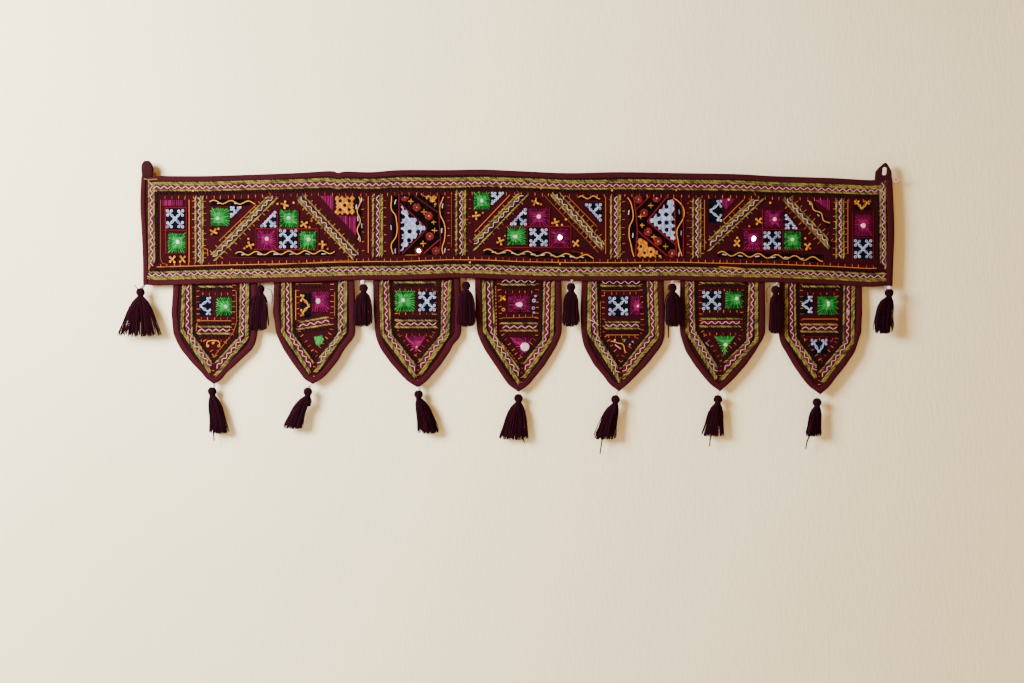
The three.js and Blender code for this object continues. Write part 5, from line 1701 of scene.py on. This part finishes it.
beads = [makeBeads("clear", beadFinish("clearGlassBead", "#A8A8B0", 0.85)),
         makeBeads("white", beadFinish("milkGlassBead", "#D0D2DA", 0.25))]
print("beads made")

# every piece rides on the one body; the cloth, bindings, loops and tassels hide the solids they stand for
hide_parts("band_panel")
for side, piece in bandBindings.items():
    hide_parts(f"binding_{side}")
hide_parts("loop_left")
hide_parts("loop_right")
for i, (cloth, binding) in enumerate(flaps):
    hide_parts(f"flap_{i + 1}")
    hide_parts(f"flap_binding_{i + 1}")
for row, piece in zip(tasselRows, tassels):
    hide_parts(row[0])
slotPieces = {
    "ground_cloth": [bandCloth, *[cloth for cloth, _ in flaps]],
    "binding_cloth": [*bandBindings.values(), *[binding for _, binding in flaps]],
    "loop_tape": [loopLeft, loopRight],
    "tassel_yarn": tassels,
    "stitch_thread": stitching,
    "mirror_glass": [mirrors],
    "bead_glass": beads,
}
for name, members in slotPieces.items():
    for piece in members:
        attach(piece, "root")

# stage: a painted wall behind the hanging and a pale floor well below it
stageLooks = {
    "wallGapMm": 4.0, "wall": ("#E6D6A0", "#F0E4B8"), "floor": ("#D2CDC1", "#E2DDD2"), "floorZ": -1.05,
}


def wallFinish():
    # matt emulsion brushed up and down on plaster: no gloss, faint upright fibres
    material, tree = startFinish("wallEmulsion")
    place = addNode(tree, "ShaderNodeTexCoord").outputs["Object"]
    drawn = addNode(tree, "ShaderNodeVectorMath", {0: place, 1: (1, 1, 0.3)}, operation="MULTIPLY")
    stipple = addNode(tree, "ShaderNodeTexNoise", {"Vector": drawn.outputs[0], "Scale": 260.0, "Detail": 4.0})
    patch = addNode(tree, "ShaderNodeTexNoise", {"Vector": place, "Scale": 2.2, "Detail": 2.0})
    first, second = [linear(c) for c in stageLooks["wall"]]
    colour = addNode(tree, "ShaderNodeMix", {0: patch.outputs["Fac"], 6: first, 7: second}, data_type="RGBA")
    bump = addNode(tree, "ShaderNodeBump", {
        "Strength": 0.5, "Distance": 0.0009, "Height": stipple.outputs["Fac"]})
    paint = addNode(tree, "ShaderNodeBsdfPrincipled", {
        "Base Color": colour.outputs[2], "Roughness": 0.95, "Specular IOR Level": 0.2,
        "Normal": bump.outputs[0]})
    # light passes through the wall from behind, and its back isn't drawn, so the hanging's back shows
    back = addNode(tree, "ShaderNodeNewGeometry").outputs["Backfacing"]
    shadow = addNode(tree, "ShaderNodeLightPath").outputs["Is Shadow Ray"]
    unseen = addNode(tree, "ShaderNodeMath", {0: back, 1: shadow}, operation="MAXIMUM")
    clear = addNode(tree, "ShaderNodeBsdfTransparent")
    mix = addNode(tree, "ShaderNodeMixShader", {
        0: unseen.outputs[0], 1: paint.outputs[0], 2: clear.outputs[0]})
    addNode(tree, "ShaderNodeOutputMaterial", {"Surface": mix.outputs[0]})
    return material


def floorFinish():
    # sealed pale concrete: matt, with faint cloudy mottling
    material, tree = startFinish("floorConcrete")
    place = addNode(tree, "ShaderNodeTexCoord").outputs["Object"]
    cloud = addNode(tree, "ShaderNodeTexNoise", {"Vector": place, "Scale": 3.0, "Detail": 5.0})
    first, second = [linear(c) for c in stageLooks["floor"]]
    colour = addNode(tree, "ShaderNodeMix", {0: cloud.outputs["Fac"], 6: first, 7: second}, data_type="RGBA")
    shader = addNode(tree, "ShaderNodeBsdfPrincipled", {"Base Color": colour.outputs[2], "Roughness": 0.8})
    addNode(tree, "ShaderNodeOutputMaterial", {"Surface": shader.outputs[0]})
    return material


def plane(name, corners, finish):
    piece = meshPiece(name, corners, [(0, 1, 2, 3)], finish, recalculated=False)
    return piece


wallY = cadBox[1].y + stageLooks["wallGapMm"] * mm
plane("wall", [(-4, wallY, -1.06), (4, wallY, -1.06), (4, wallY, 2.5), (-4, wallY, 2.5)], wallFinish())
floorZ = stageLooks["floorZ"]
plane("floor", [(-6, -6, floorZ), (6, -6, floorZ), (6, 6, floorZ), (-6, 6, floorZ)], floorFinish())

lightLooks = {  # place, aim, size in metres, watts and colour
    "window": {"place": (-1.3, -1.1, 0.3), "aim": (0.0, 0, -0.2), "size": (0.72, 0.72), "watts": 136,
               "colour": "#E6EEFF"},
    "fill": {"place": (0.6, -2.6, 0.4), "aim": (0, 0, -0.2), "size": (2.4, 2.0), "watts": 30,
             "colour": "#FFBA4C"},
    "behind": {"place": (0.5, 2.4, 0.9), "aim": (0, 0, -0.15), "size": (1.6, 1.6), "watts": 70,
               "colour": "#FFF6EA"},
}


def areaLight(name, look):
    data = bpy.data.lights.new(name, "AREA")
    data.shape = "RECTANGLE"
    data.size, data.size_y = look["size"]
    data.energy = look["watts"]
    data.color = linear(look["colour"])[:3]
    lamp = bpy.data.objects.new(name, data)
    lamp.location = look["place"]
    aim = Vector(look["aim"]) - Vector(look["place"])
    lamp.rotation_euler = aim.to_track_quat("-Z", "Y").to_euler()
    bpy.context.scene.collection.objects.link(lamp)


for name, look in lightLooks.items():
    areaLight(name, look)

world = bpy.data.worlds.new("paleRoom")
world.use_nodes = True
world.node_tree.nodes["Background"].inputs[0].default_value = linear("#FFBE68")
world.node_tree.nodes["Background"].inputs[1].default_value = 0.2
bpy.context.scene.world = world

camera = bpy.data.objects.new("camera", bpy.data.cameras.new("camera"))
camera.data.lens, camera.data.sensor_width = 50, 36
camera.location = (-6.7 * mm, -1.896, -226 * mm)
camera.rotation_euler = (math.pi / 2, 0, 0)
bpy.context.scene.collection.objects.link(camera)
bpy.context.scene.camera = camera
